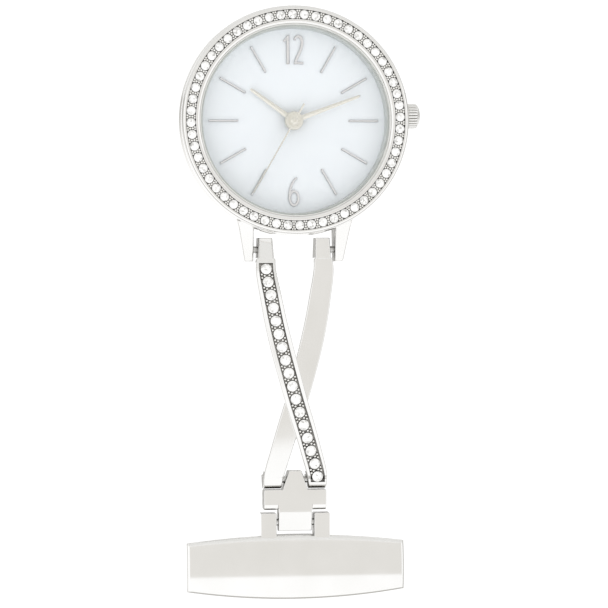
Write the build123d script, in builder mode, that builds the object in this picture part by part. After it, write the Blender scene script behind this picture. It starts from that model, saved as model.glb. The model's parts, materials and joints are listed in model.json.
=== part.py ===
"""Pendant fob watch: bar brooch, connector, crossed-bar link and a round quartz watch head.

Units are millimetres.  +Z is up with the brooch at the top; the dial faces -Y and hangs upside
down, so that the wearer reads it by looking down.  The origin is the axis of the brooch pin.
"""
from math import asin, cos, degrees, radians, sin
import os

from build123d import *

os.makedirs("parts", exist_ok=True)

# ---------------------------------------------------------------- driving dimensions
HINGE_Y = -3.6            # plane of the three cross hinges; the pin wire lies on Y = 0
BROOCH_HINGE_Z = -6.35    # brooch ears to connector
LINK_HINGE_Z = -12.36     # connector to crossed link
HEAD_HINGE_Z = -44.65     # crossed link to case lugs
HEAD_Z = -62.68           # centre of the dial
PIN_R = 0.5               # hinge pins
PIN_BORE_R = 0.55         # running bores round the hinge pins

CASE_R = 16.2
CASE_BORE_R = 14.3
CASE_FRONT = -2.4         # depths are measured behind the hinge plane, forward is negative
CASE_REAR = 2.6
BEZEL_R = 16.0
BEZEL_FRONT = -4.4
BEZEL_BORE_R = 13.45
BEZEL_STONES = 56
STONE_RING_R = 14.72
STONE_R = 0.64
CRYSTAL_R = 13.3
DIAL_R = 14.2
DIAL_FRONT = -1.5
DIAL_REAR = -1.1
MARKER_HEIGHT = 0.25

STEM_DROP = 0.8           # the stem axis sits a little to the 12 o'clock side of the centre
STEM_DEPTH = 0.1
STEM_R = 0.4
CROWN_R = 1.785
CROWN_INNER = 16.35
CROWN_OUTER = 18.25
CROWN_TRAVEL = 0.8

PLATE_REAR = 0.4          # main plate of the movement
PLATE_FRONT = -0.3
MOVEMENT_R = 11.5
BRIDGE_FRONT = 1.6
BRIDGE_REAR = 1.95

BAR_STONES = 17
BAR_STONE_R = 0.78
STONE_BAR_APEX = -2.9     # how far each bar arches forward of the hinge plane
PLAIN_BAR_APEX = -1.9
BAR_END_DEPTH = -0.5
BAR_HALF_THICK = 0.85
CHANNEL_LOW = -42.75
CHANNEL_HIGH = -12.05
FIRST_STONE_Z = -41.75
LAST_STONE_Z = -13.0

PLATE_HALF_WIDTH = 15.35  # brooch plate
EAR_INNER = 2.66
EAR_OUTER = 4.83
WIRE_R = 0.4
WIRE_HALF = 9.2           # the plain cylinder of the pin wire, half length
PIN_PIVOT_X = -11.4
CATCH_X = 9.5

HANDS_TIME = (10, 11, 35)

# centre line of the stone bar, X against Z; the plain bar is its mirror image
BAR_LINE = ((4.05, -43.6), (4.10, -41.7), (3.55, -38.2), (2.91, -34.6), (2.08, -30.9),
            (1.12, -27.2), (0.06, -23.4), (-1.10, -19.7), (-2.15, -16.2), (-3.05, -13.0),
            (-3.22, -11.06))
BAR_HALF_WIDTHS = (1.38, 1.42, 1.52, 1.58, 1.62, 1.60, 1.56, 1.52, 1.46, 1.40, 1.27)


# ---------------------------------------------------------------- helpers
def save(builder, label):
    """Name a finished piece and write it out."""
    builder.part.label = label
    export_step(builder.part, f"parts/{label}.step")


def front_plane(depth, x=0.0, z=HEAD_Z):
    """Plane facing the front; local x is +X and local y is +Z."""
    return Plane((x, HINGE_Y + depth, z), x_dir=(1, 0, 0), z_dir=(0, -1, 0))


def dial_plane(depth, clock_angle=0.0):
    """Plane facing the front whose local y points at the given clock angle of the dial."""
    turn = radians(clock_angle)
    return Plane((0, HINGE_Y + depth, HEAD_Z), x_dir=(-cos(turn), 0, sin(turn)), z_dir=(0, -1, 0))


def side_plane(x, depth=0.0, z=0.0):
    """Plane facing +X; local x runs to the back and local y runs up."""
    return Plane((x, HINGE_Y + depth, z), x_dir=(0, 1, 0), z_dir=(1, 0, 0))


def stem_plane(x):
    """Plane facing the crown, centred on the stem axis."""
    return Plane((-x, HINGE_Y + STEM_DEPTH, HEAD_Z - STEM_DROP), x_dir=(0, 1, 0), z_dir=(-1, 0, 0))


def polar(radius, angle):
    """Point at a radius and an angle in degrees."""
    return (radius * cos(radians(angle)), radius * sin(radians(angle)))


def turned(label, rings, centre=(0.0, 0.0)):
    """Stack of plain rings facing the front: (rear, front, outer radius, bore radius)."""
    with BuildPart() as piece:
        for rear, front, outer, bore in rings:
            with BuildSketch(front_plane(rear, centre[0], HEAD_Z + centre[1])):
                Circle(outer)
                if bore:
                    Circle(bore, mode=Mode.SUBTRACT)
            extrude(amount=rear - front)
    save(piece, label)
    return piece


def gear_points(teeth, module, phase, root=0.26, tip=0.09):
    """Outline of a small wheel; the first tooth points along the phase angle."""
    pitch = 360 / teeth
    foot_r = module * (teeth / 2 - 1.15)
    head_r = module * (teeth / 2 + 0.8)
    points = []
    for index in range(teeth):
        middle = phase + index * pitch
        points.append(polar(foot_r, middle - root * pitch))
        points.append(polar(head_r, middle - tip * pitch))
        points.append(polar(head_r, middle + tip * pitch))
        points.append(polar(foot_r, middle + root * pitch))
    return points


def wheel(label, centre, gears, shafts, bore=0.0):
    """Toothed wheels and plain shafts on one axis.

    gears: (rear, front, teeth, module, phase);  shafts: (rear, front, radius).
    """
    with BuildPart() as piece:
        for rear, front, teeth, module, phase in gears:
            with BuildSketch(front_plane(rear, centre[0], HEAD_Z + centre[1])):
                Polygon(*gear_points(teeth, module, phase), align=None)
            extrude(amount=rear - front)
        for rear, front, radius in shafts:
            with BuildSketch(front_plane(rear, centre[0], HEAD_Z + centre[1])):
                Circle(radius)
            extrude(amount=rear - front)
        if bore:
            with BuildSketch(front_plane(4.0, centre[0], HEAD_Z + centre[1])):
                Circle(bore)
            extrude(amount=9.0, mode=Mode.SUBTRACT)
    save(piece, label)
    return piece


# ---------------------------------------------------------------- watch case
def lugs():
    """Two lugs that reach up to the head hinge."""
    with BuildPart() as pair:
        with BuildSketch(front_plane(0.0)):
            Polygon((5.74, 13.6), (8.3, 13.6), (7.84, 14.9), (6.95, 19.7), (5.74, 19.7),
                    align=None)
            Polygon((-5.74, 13.6), (-8.3, 13.6), (-7.84, 14.9), (-6.95, 19.7), (-5.74, 19.7),
                    align=None)
        extrude(amount=3, both=True)
        with BuildSketch(side_plane(-9, 0, HEAD_HINGE_Z)):
            Circle(1.6)
            with Locations((0, -3.9)):
                Rectangle(4.2, 1.6)
            make_hull()
        extrude(amount=18, mode=Mode.INTERSECT)
    return pair


def case_middle():
    """Case ring with two lugs and the seat of the crown tube."""
    horns = lugs()
    with BuildPart() as case:
        with BuildSketch(front_plane(CASE_REAR)):
            Circle(CASE_R)
        extrude(amount=CASE_REAR - CASE_FRONT)
        chamfer(case.edges().filter_by(GeomType.CIRCLE), 0.25)
        add(horns.part)
        with BuildSketch(front_plane(CASE_REAR)):
            Circle(CASE_BORE_R)
        extrude(amount=6, mode=Mode.SUBTRACT)
        with BuildSketch(front_plane(CASE_REAR)):
            Circle(15.1)
            Circle(14.6, mode=Mode.SUBTRACT)
        extrude(amount=0.3, mode=Mode.SUBTRACT)
        with BuildSketch(side_plane(-7.45, 0, HEAD_HINGE_Z)):
            Circle(PIN_BORE_R)
        extrude(amount=14.9, mode=Mode.SUBTRACT)
        with BuildSketch(stem_plane(13)):
            Circle(1.0)
        extrude(amount=4, mode=Mode.SUBTRACT)
    save(case, "case_middle")


def bezel():
    """Bezel ring with the sunk channel for the stones."""
    with BuildPart() as ring:
        with BuildSketch(front_plane(CASE_FRONT)):
            Circle(BEZEL_R)
            Circle(BEZEL_BORE_R, mode=Mode.SUBTRACT)
        extrude(amount=CASE_FRONT - BEZEL_FRONT)
        chamfer(ring.edges().filter_by(GeomType.CIRCLE).group_by(Axis.Y)[0], 0.12)
        with BuildSketch(front_plane(BEZEL_FRONT + 0.65)):
            Circle(15.4)
            Circle(14.05, mode=Mode.SUBTRACT)
        extrude(amount=2, mode=Mode.SUBTRACT)
    save(ring, "bezel")


def bezel_stones():
    """Ring of round cut stones."""
    pitch = 360 / BEZEL_STONES
    spots = [polar(STONE_RING_R, 90 + 1.65 + index * pitch) for index in range(BEZEL_STONES)]
    with BuildPart() as stones:
        with BuildSketch(dial_plane(BEZEL_FRONT + 0.15)) as girdles:
            with Locations(*spots):
                Circle(STONE_R)
        extrude(amount=0.25, taper=42)
        extrude(girdles.sketch, amount=-0.42, taper=38)
    save(stones, "bezel_stones")


def case_parts():
    """Crystal, gaskets, inner ring, case back and crown tube."""
    with BuildPart() as crystal:
        with BuildSketch(front_plane(-3.25)):
            Circle(CRYSTAL_R)
        extrude(amount=1.2)
        chamfer(crystal.edges().group_by(Axis.Y)[0], 0.15)
    save(crystal, "crystal")
    turned("crystal_gasket", [(-3.25, -4.2, BEZEL_BORE_R, CRYSTAL_R)])
    with BuildPart() as inner_ring:
        with BuildSketch(front_plane(-1.52)):
            Circle(14.25)
        extrude(amount=0.83)
        with BuildSketch(front_plane(-2.35)):
            Circle(13.4)
        extrude(amount=0.87)
        with BuildSketch(front_plane(-1.52)):
            Circle(12.9)
        extrude(amount=3, taper=-2, mode=Mode.SUBTRACT)
    save(inner_ring, "inner_ring")
    with BuildPart() as back:
        with BuildSketch(front_plane(3.4)):
            Circle(15.8)
        extrude(amount=0.8)
        chamfer(back.edges().group_by(Axis.Y)[-1], 0.3)
        with BuildSketch(front_plane(2.6)):
            Circle(14.25)
            Circle(13.6, mode=Mode.SUBTRACT)
        extrude(amount=0.45)
    save(back, "case_back")
    turned("case_back_gasket", [(2.6, 2.32, 15.08, 14.62)])
    with BuildPart() as tube:
        with BuildSketch(stem_plane(14.35)):
            Circle(1.0)
            Circle(0.5, mode=Mode.SUBTRACT)
        extrude(amount=3.05)
    save(tube, "crown_tube")


def crown_and_stem():
    """Knurled crown, its gasket, the stem and the sliding pinion."""
    with BuildPart() as crown:
        with BuildSketch(stem_plane(CROWN_INNER)):
            Circle(CROWN_R)
        extrude(amount=CROWN_OUTER - CROWN_INNER)
        rims = crown.edges().filter_by(GeomType.CIRCLE)
        chamfer(rims.group_by(Axis.X)[0], 0.35)
        chamfer(rims.group_by(Axis.X)[-1], 0.12)
        with BuildSketch(stem_plane(CROWN_INNER)):
            Circle(1.2)
        extrude(amount=1.2, mode=Mode.SUBTRACT)
        with BuildSketch(stem_plane(CROWN_INNER)):
            Circle(STEM_R)
        extrude(amount=1.5, mode=Mode.SUBTRACT)
        with BuildSketch(stem_plane(CROWN_INNER)):
            with PolarLocations(CROWN_R, 28):
                Rectangle(0.16, 0.16)
        extrude(amount=CROWN_OUTER - CROWN_INNER - 0.3, mode=Mode.SUBTRACT)
    save(crown, "crown")
    with BuildPart() as gasket:
        with BuildSketch(stem_plane(CROWN_INNER + 0.08)):
            Circle(1.2)
            Circle(1.04, mode=Mode.SUBTRACT)
        extrude(amount=0.3)
    save(gasket, "crown_gasket")
    with BuildPart() as stem:
        with BuildSketch(stem_plane(4.3)):
            Circle(0.28)
        extrude(amount=2.3)
        with BuildSketch(stem_plane(6.6)):
            Circle(STEM_R)
        extrude(amount=CROWN_INNER + 1.5 - 6.6)
        with BuildSketch(stem_plane(6.95)):
            Circle(1.0)
            Circle(0.2, mode=Mode.SUBTRACT)
        extrude(amount=0.5, mode=Mode.SUBTRACT)
    save(stem, "stem")
    with BuildPart() as pinion:
        with BuildSketch(stem_plane(4.75)):
            Polygon(*gear_points(12, 0.1, 0), align=None)
            Circle(0.33, mode=Mode.SUBTRACT)
        extrude(amount=0.5)
        with BuildSketch(stem_plane(5.25)):
            Circle(0.45)
            Circle(0.33, mode=Mode.SUBTRACT)
        extrude(amount=0.3)
        with BuildSketch(stem_plane(5.55)):
            Circle(0.62)
            Circle(0.33, mode=Mode.SUBTRACT)
        extrude(amount=0.3)
    save(pinion, "sliding_pinion")


# ---------------------------------------------------------------- dial and hands
def baton(radius_in, radius_out, width, clock_angle):
    """One hour baton in the current dial sketch."""
    middle = (radius_in + radius_out) / 2
    spot = polar(middle, 90 - clock_angle)
    with Locations(Location((spot[0], spot[1], 0), (0, 0, -clock_angle))):
        Rectangle(width, radius_out - radius_in)


def dial():
    """Dial disc with the applied batons and the numerals 12 and 6."""
    turned("dial", [(DIAL_REAR, DIAL_FRONT, DIAL_R, 1.0)])
    with BuildPart() as markers:
        with BuildSketch(dial_plane(DIAL_FRONT)):
            for hour in range(12):
                if hour not in (0, 6):
                    baton(7.8, 12.0, 0.36, hour * 30)
        extrude(amount=MARKER_HEIGHT)
    save(markers, "hour_markers")
    with BuildPart() as numerals:
        with BuildSketch(dial_plane(DIAL_FRONT)):
            with BuildLine():
                Polyline((-1.25, 11.3), (-0.75, 11.85), (-0.75, 8.0))
            trace(line_width=0.4)
            with BuildLine():
                ThreePointArc((0.15, 11.2), (0.75, 11.85), (1.35, 11.2))
                Polyline((1.35, 11.2), (1.25, 10.4), (0.2, 8.0), (1.45, 8.0))
            trace(line_width=0.4)
            with Locations((0, -10.9)):
                Ellipse(0.8, 1.15)
                Ellipse(0.42, 0.77, mode=Mode.SUBTRACT)
            with BuildLine():
                ThreePointArc((-0.61, -10.9), (-0.45, -9.2), (0.55, -8.0))
            trace(line_width=0.38)
        extrude(amount=MARKER_HEIGHT)
    save(numerals, "numerals")


def hand(label, rear, thick, clock_angle, length, root, tip, hub, bore, tail=0.0):
    """Straight tapered hand with a round hub."""
    with BuildPart() as piece:
        with BuildSketch(dial_plane(rear, clock_angle)):
            Polygon((-root / 2, -tail), (root / 2, -tail), (root / 2, 1), (tip / 2, length - tip),
                    (0, length), (-tip / 2, length - tip), (-root / 2, 1), align=None)
        extrude(amount=thick)
        with BuildSketch(dial_plane(rear)):
            Circle(hub)
        extrude(amount=thick)
        if bore:
            with BuildSketch(dial_plane(rear)):
                Circle(bore)
            extrude(amount=thick, mode=Mode.SUBTRACT)
    save(piece, label)


def hands():
    """Hour, minute and second hands set to the stated time."""
    hours, minutes, seconds = HANDS_TIME
    minute_angle = (minutes + seconds / 60) * 6
    hour_angle = (hours % 12) * 30 + minute_angle / 12
    hand("hour_hand", -2.0, 0.2, hour_angle, 7.6, 0.75, 0.42, 1.35, 0.72)
    hand("minute_hand", -2.4, 0.2, minute_angle, 10.0, 0.75, 0.4, 1.3, 0.42)
    hand("second_hand", -2.8, 0.16, seconds * 6, 11.7, 0.28, 0.2, 1.2, 0.15, tail=2.74)


# ---------------------------------------------------------------- gear train
CENTRE = (0.0, 0.0)
TRAIN_C = 3.0                              # third and fifth arbors from the centre
THIRD = polar(TRAIN_C, 100)
FIFTH = polar(TRAIN_C, -20)
ROTOR = (FIFTH[0] + polar(2.0, -60)[0], FIFTH[1] + polar(2.0, -60)[1])
MINUTE = polar(2.4, 200)
SETTING = (MINUTE[0] + polar(2.76, 135)[0], MINUTE[1] + polar(2.76, 135)[1])
M_FOURTH = 2 * TRAIN_C / 68                # 8 leaves into 60 teeth
M_THIRD = 2 * TRAIN_C / 72                 # 8 leaves into 64 teeth
M_ROTOR = 0.1
M_MOTION = 0.12
LEVEL_A = (0.7, 0.5)
LEVEL_B = (1.1, 0.85)
LEVEL_C = (1.45, 1.25)


def facing(angle, teeth):
    """Phase that puts a gap of the driven gear in front of a tooth at the angle."""
    return angle + 180 + 180 / teeth


def train():
    """Rotor to second, minute and hour wheels."""
    wheel("fourth_wheel", CENTRE,
          [(*LEVEL_C, 60, M_FOURTH, -20), (*LEVEL_B, 8, M_FOURTH, facing(100 + 180, 8))],
          [(1.72, 1.5, 0.12), (1.5, 0.75, 0.16), (0.75, -2.96, 0.15)])
    wheel("third_wheel", THIRD,
          [(*LEVEL_B, 60, M_FOURTH, 100 + 180), (*LEVEL_A, 8, M_THIRD, facing(100, 8))],
          [(1.72, 1.55, 0.09), (1.55, 0.45, 0.14), (0.45, 0.2, 0.09)])
    wheel("centre_wheel", CENTRE,
          [(*LEVEL_A, 64, M_THIRD, 100)],
          [(0.75, -0.36, 0.42)], bore=0.19)
    wheel("fifth_wheel", FIFTH,
          [(*LEVEL_C, 8, M_FOURTH, facing(-20, 8)), (*LEVEL_B, 32, M_ROTOR, -60)],
          [(1.72, 1.55, 0.09), (1.55, 0.45, 0.12), (0.45, 0.2, 0.09)])
    wheel("rotor", ROTOR,
          [(*LEVEL_B, 8, M_ROTOR, facing(-60, 8))],
          [(1.72, 1.55, 0.09), (1.55, 0.45, 0.14), (0.82, 0.5, 0.75), (0.45, 0.2, 0.09)])
    wheel("cannon_pinion", CENTRE,
          [(-0.4, -0.65, 10, M_MOTION, 200)],
          [(-0.36, -2.6, 0.42)], bore=0.19)
    wheel("minute_wheel", MINUTE,
          [(-0.4, -0.65, 30, M_MOTION, facing(200, 30)), (-0.65, -1.0, 8, M_MOTION, 20)],
          [], bore=0.28)
    wheel("hour_wheel", CENTRE,
          [(-0.75, -1.0, 32, M_MOTION, facing(20, 32))],
          [(-1.0, -2.2, 0.72)], bore=0.46)
    wheel("setting_wheel", SETTING,
          [(-0.4, -0.65, 16, M_MOTION, facing(135, 16))],
          [], bore=0.28)


# ---------------------------------------------------------------- movement frame
PILLARS = (polar(3.75, 205), (3.4, 1.3), (-4.1, 3.2))
BATTERY = polar(7.9, 35)
BATTERY_R = 3.4
LEVER_PIVOT = (-7.6, 1.2)
LEVER_ARM = 2.0
LEVER_SWING = 2 * degrees(asin(CROWN_TRAVEL / 2 / LEVER_ARM))


def main_plate():
    """Round plate that carries the train, the keyless works and the battery."""
    with BuildPart() as plate:
        with BuildSketch(front_plane(PLATE_REAR)):
            Circle(MOVEMENT_R)
        extrude(amount=PLATE_REAR - PLATE_FRONT)
        with BuildSketch(front_plane(BRIDGE_FRONT)):
            with Locations(*PILLARS):
                Circle(0.6)
        extrude(amount=BRIDGE_FRONT - PLATE_REAR)
        with BuildSketch(front_plane(0.9, -10.75, HEAD_Z - STEM_DROP)):
            Rectangle(1.3, 2.6)
        extrude(amount=1.6)
        with BuildSketch(front_plane(PLATE_REAR)):
            with Locations(BATTERY):
                Circle(BATTERY_R + 0.05)
        extrude(amount=0.4, mode=Mode.SUBTRACT)
        with BuildSketch(front_plane(PLATE_REAR)):
            with Locations((-7.1, -STEM_DROP)):
                Rectangle(6.0, 1.7)
        extrude(amount=1.5, mode=Mode.SUBTRACT)
        with BuildSketch(front_plane(PLATE_REAR)):
            with Locations(THIRD, FIFTH, ROTOR):
                Circle(0.12)
        extrude(amount=0.3, mode=Mode.SUBTRACT)
        with BuildSketch(front_plane(PLATE_REAR)):
            Circle(0.47)
        extrude(amount=1.5, mode=Mode.SUBTRACT)
        with BuildSketch(front_plane(BRIDGE_FRONT)):
            with Locations(*PILLARS):
                Circle(0.25)
        extrude(amount=0.9, mode=Mode.SUBTRACT)
        with BuildSketch(front_plane(PLATE_FRONT)):
            with Locations(MINUTE, SETTING):
                Circle(0.25)
        extrude(amount=0.36)
        with BuildSketch(front_plane(PLATE_FRONT)):
            with Locations(MINUTE):
                Circle(0.25)
        extrude(amount=0.72)
        with BuildSketch(front_plane(0.85)):
            with Locations(LEVER_PIVOT):
                Circle(0.2)
        extrude(amount=0.85 - PLATE_REAR)
        with BuildSketch(stem_plane(9.5)):
            Circle(0.5)
        extrude(amount=3, mode=Mode.SUBTRACT)
    save(plate, "main_plate")


def bridge():
    """Train bridge and its three screws."""
    with BuildPart() as top:
        with BuildSketch(front_plane(BRIDGE_REAR)):
            with Locations(*PILLARS, THIRD, FIFTH, ROTOR):
                Circle(0.8)
            make_hull()
        extrude(amount=BRIDGE_REAR - BRIDGE_FRONT)
        with BuildSketch(front_plane(BRIDGE_REAR)):
            with Locations(*PILLARS):
                Circle(0.25)
            with Locations(THIRD, FIFTH, ROTOR):
                Circle(0.12)
            Circle(0.15)
        extrude(amount=1, mode=Mode.SUBTRACT)
    save(top, "train_bridge")
    with BuildPart() as screws:
        with BuildSketch(front_plane(BRIDGE_REAR)):
            with Locations(*PILLARS):
                Circle(0.25)
        extrude(amount=1.1)
        with BuildSketch(front_plane(BRIDGE_REAR + 0.2)):
            with Locations(*PILLARS):
                Circle(0.5)
                Rectangle(0.12, 1.2, mode=Mode.SUBTRACT)
        extrude(amount=0.12)
        with BuildSketch(front_plane(BRIDGE_REAR + 0.08)):
            with Locations(*PILLARS):
                Circle(0.5)
        extrude(amount=0.08)
    save(screws, "bridge_screws")


def movement_ring():
    """Plastic ring that centres the movement in the case."""
    with BuildPart() as ring:
        with BuildSketch(front_plane(2.1)):
            Circle(14.25)
            Circle(MOVEMENT_R + 0.05, mode=Mode.SUBTRACT)
        extrude(amount=3.15)
        with BuildSketch(stem_plane(10.5)):
            Circle(0.65)
        extrude(amount=4, mode=Mode.SUBTRACT)
        with BuildSketch(front_plane(2.1)):
            with Locations((-11.4, -STEM_DROP)):
                Rectangle(0.6, 3.0)
        extrude(amount=3.15, mode=Mode.SUBTRACT)
    save(ring, "movement_ring")


def electrics():
    """Battery, clamp, board, chip, quartz can, stator, coil and core."""
    with BuildPart() as battery:
        with BuildSketch(front_plane(2.1)):
            with Locations(BATTERY):
                Circle(BATTERY_R)
        extrude(amount=2.1)
        chamfer(battery.edges().filter_by(GeomType.CIRCLE), 0.12)
    save(battery, "battery")
    with BuildPart() as clamp:
        with BuildSketch(front_plane(2.26)):
            with Locations(Location((BATTERY[0] - 2.4, BATTERY[1] + 2.4, 0), (0, 0, -45))):
                SlotOverall(6.4, 1.6)
        extrude(amount=0.15)
        with BuildSketch(front_plane(2.26)):
            with Locations((BATTERY[0] - 4.1, BATTERY[1] + 4.1)):
                Circle(0.7)
        extrude(amount=2.26 - PLATE_REAR)
    save(clamp, "battery_clamp")
    with BuildPart() as board:
        with BuildSketch(front_plane(0.75)):
            Circle(10.8)
            with Locations((-5.6, -6.4)):
                Rectangle(8.4, 7.0, mode=Mode.INTERSECT)
        extrude(amount=0.75 - PLATE_REAR - 0.1)
    save(board, "circuit_board")
    with BuildPart() as chip:
        with BuildSketch(front_plane(1.25)):
            with Locations((-4.6, -4.2)):
                Rectangle(2.2, 2.2)
        extrude(amount=0.5)
    save(chip, "drive_chip")
    with BuildPart() as can:
        with BuildSketch(Plane((-7.6, HINGE_Y + 1.47, HEAD_Z - 6.6), x_dir=(0, 1, 0),
                               z_dir=(1, 0, 0))):
            Circle(0.7)
        extrude(amount=6.0)
    save(can, "quartz_can")
    with BuildPart() as stator:
        with BuildSketch(front_plane(0.8)):
            Polygon((0.2, -3.6), (2.2, -2.2), (3.0, -1.45), (8.2, -1.45), (8.2, -7.6),
                    (6.9, -7.6), (6.9, -4.4), (1.5, -4.4), (1.5, -7.6), (0.2, -7.6), align=None)
            with Locations(ROTOR):
                Circle(1.05, mode=Mode.SUBTRACT)
        extrude(amount=0.3)
    save(stator, "stator")
    with BuildPart() as core:
        with BuildSketch(front_plane(1.1)):
            with Locations((4.2, -6.9)):
                Rectangle(7.6, 0.9)
        extrude(amount=0.3)
    save(core, "coil_core")
    with BuildPart() as coil:
        with BuildSketch(Plane((1.7, HINGE_Y + 1.18, HEAD_Z - 6.9), x_dir=(0, 1, 0),
                               z_dir=(1, 0, 0))):
            Circle(0.74)
            with Locations((-0.23, 0)):
                Rectangle(0.3, 0.9, mode=Mode.SUBTRACT)
        extrude(amount=5.0)
    save(coil, "coil_winding")


def setting_lever():
    """Lever whose peg sits in the groove of the stem."""
    start = -90 + LEVER_SWING / 2
    peg = polar(LEVER_ARM, start)
    with BuildPart() as lever:
        with BuildSketch(front_plane(0.8)):
            with Locations(LEVER_PIVOT):
                Circle(0.5)
            with Locations((LEVER_PIVOT[0] + peg[0], LEVER_PIVOT[1] + peg[1])):
                Circle(0.3)
            make_hull()
            with Locations(LEVER_PIVOT):
                Circle(0.23, mode=Mode.SUBTRACT)
        extrude(amount=0.2)
        with BuildSketch(front_plane(0.6)):
            with Locations((LEVER_PIVOT[0] + peg[0], LEVER_PIVOT[1] + peg[1])):
                Circle(0.14)
        extrude(amount=0.25)
    save(lever, "setting_lever")


# ---------------------------------------------------------------- crossed-bar link
def bar_edges(side, half_widths):
    """Left and right edge points of a bar, side +1 for the stone bar and -1 for the plain one."""
    points = [Vector(side * x, z) for x, z in BAR_LINE]
    lefts, rights = [], []
    for index, point in enumerate(points):
        before = points[max(index - 1, 0)]
        after = points[min(index + 1, len(points) - 1)]
        along = (after - before).normalized()
        across = Vector(-along.Y, along.X)
        lefts.append(point + across * half_widths[index])
        rights.append(point - across * half_widths[index])
    return lefts, rights


def bar(side, apex):
    """Arched flat bar with an eye at each end; the front view cut from the side view."""
    lefts, rights = bar_edges(side, BAR_HALF_WIDTHS)
    with BuildPart() as piece:
        with BuildSketch(front_plane(3, 0, 0)):
            with BuildLine():
                Spline(*[(p.X, p.Y) for p in lefts])
                Line((lefts[-1].X, lefts[-1].Y), (rights[-1].X, rights[-1].Y))
                Spline(*[(p.X, p.Y) for p in reversed(rights)])
                Line((rights[0].X, rights[0].Y), (lefts[0].X, lefts[0].Y))
            make_face()
            with Locations((side * 4.05, HEAD_HINGE_Z + 0.25)):
                Rectangle(1.99, 3.4)
        extrude(amount=9)
        low, high = HEAD_HINGE_Z - 1.5, LINK_HINGE_Z + 1.3
        middle = (low + high) / 2
        front, rear = -BAR_HALF_THICK, BAR_HALF_THICK
        with BuildSketch(side_plane(-8)):
            with BuildLine():
                ThreePointArc((BAR_END_DEPTH + front, high), (apex + front, middle),
                              (BAR_END_DEPTH + front, low))
                Line((BAR_END_DEPTH + front, low), (BAR_END_DEPTH + rear, low))
                ThreePointArc((BAR_END_DEPTH + rear, low), (apex + rear, middle),
                              (BAR_END_DEPTH + rear, high))
                Line((BAR_END_DEPTH + rear, high), (BAR_END_DEPTH + front, high))
            make_face()
            with Locations((0, LINK_HINGE_Z + 0.65), (0, HEAD_HINGE_Z - 0.75)):
                Rectangle(3.4, 1.5, mode=Mode.SUBTRACT)
            with Locations((0, LINK_HINGE_Z)):
                Circle(1.25)
            with Locations((0, HEAD_HINGE_Z)):
                Circle(1.5)
        extrude(amount=16, mode=Mode.INTERSECT)
        with BuildSketch(side_plane(-8)):
            with Locations((0, LINK_HINGE_Z), (0, HEAD_HINGE_Z)):
                Circle(PIN_R)
        extrude(amount=16, mode=Mode.SUBTRACT)
    return piece


def channel(apex):
    """Solid that sinks the stone channel into the front of the stone bar."""
    lefts, rights = bar_edges(1, [1.0] * len(BAR_LINE))
    low, high = HEAD_HINGE_Z - 1.5, LINK_HINGE_Z + 1.3
    middle = (low + high) / 2
    front, rear = -BAR_HALF_THICK - 1.5, -BAR_HALF_THICK + 0.5
    with BuildPart() as piece:
        with BuildSketch(front_plane(3, 0, 0)):
            with BuildLine():
                Spline(*[(p.X, p.Y) for p in lefts])
                Line((lefts[-1].X, lefts[-1].Y), (rights[-1].X, rights[-1].Y))
                Spline(*[(p.X, p.Y) for p in reversed(rights)])
                Line((rights[0].X, rights[0].Y), (lefts[0].X, lefts[0].Y))
            make_face()
            with Locations((0, (CHANNEL_LOW + CHANNEL_HIGH) / 2)):
                Rectangle(20, CHANNEL_HIGH - CHANNEL_LOW, mode=Mode.INTERSECT)
        extrude(amount=12)
        with BuildSketch(side_plane(-8)):
            with BuildLine():
                ThreePointArc((BAR_END_DEPTH + front, high), (apex + front, middle),
                              (BAR_END_DEPTH + front, low))
                Line((BAR_END_DEPTH + front, low), (BAR_END_DEPTH + rear, low))
                ThreePointArc((BAR_END_DEPTH + rear, low), (apex + rear, middle),
                              (BAR_END_DEPTH + rear, high))
                Line((BAR_END_DEPTH + rear, high), (BAR_END_DEPTH + front, high))
            make_face()
        extrude(amount=16, mode=Mode.INTERSECT)
    return piece


def arch_depth(apex, z):
    """Depth and slope angle of the middle line of an arched bar at a height."""
    low, high = HEAD_HINGE_Z - 1.5, LINK_HINGE_Z + 1.3
    half = (high - low) / 2
    rise = BAR_END_DEPTH - apex
    radius = (half * half + rise * rise) / (2 * rise)
    offset = z - (low + high) / 2
    return apex + radius - (radius * radius - offset * offset) ** 0.5, degrees(asin(offset / radius))


def stone_spots():
    """X and Z of the bar stones, evenly spaced along the middle line of the stone bar."""
    line = Spline(*[(x, z) for x, z in BAR_LINE], mode=Mode.PRIVATE)
    first, last = FIRST_STONE_Z, LAST_STONE_Z
    spots = []
    for index in range(BAR_STONES):
        height = first + (last - first) * index / (BAR_STONES - 1)
        low, high = 0.0, 1.0
        for _ in range(30):
            middle = (low + high) / 2
            if (line @ middle).Y < height:
                low = middle
            else:
                high = middle
        spots.append(((line @ low).X, height))
    return spots


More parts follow.
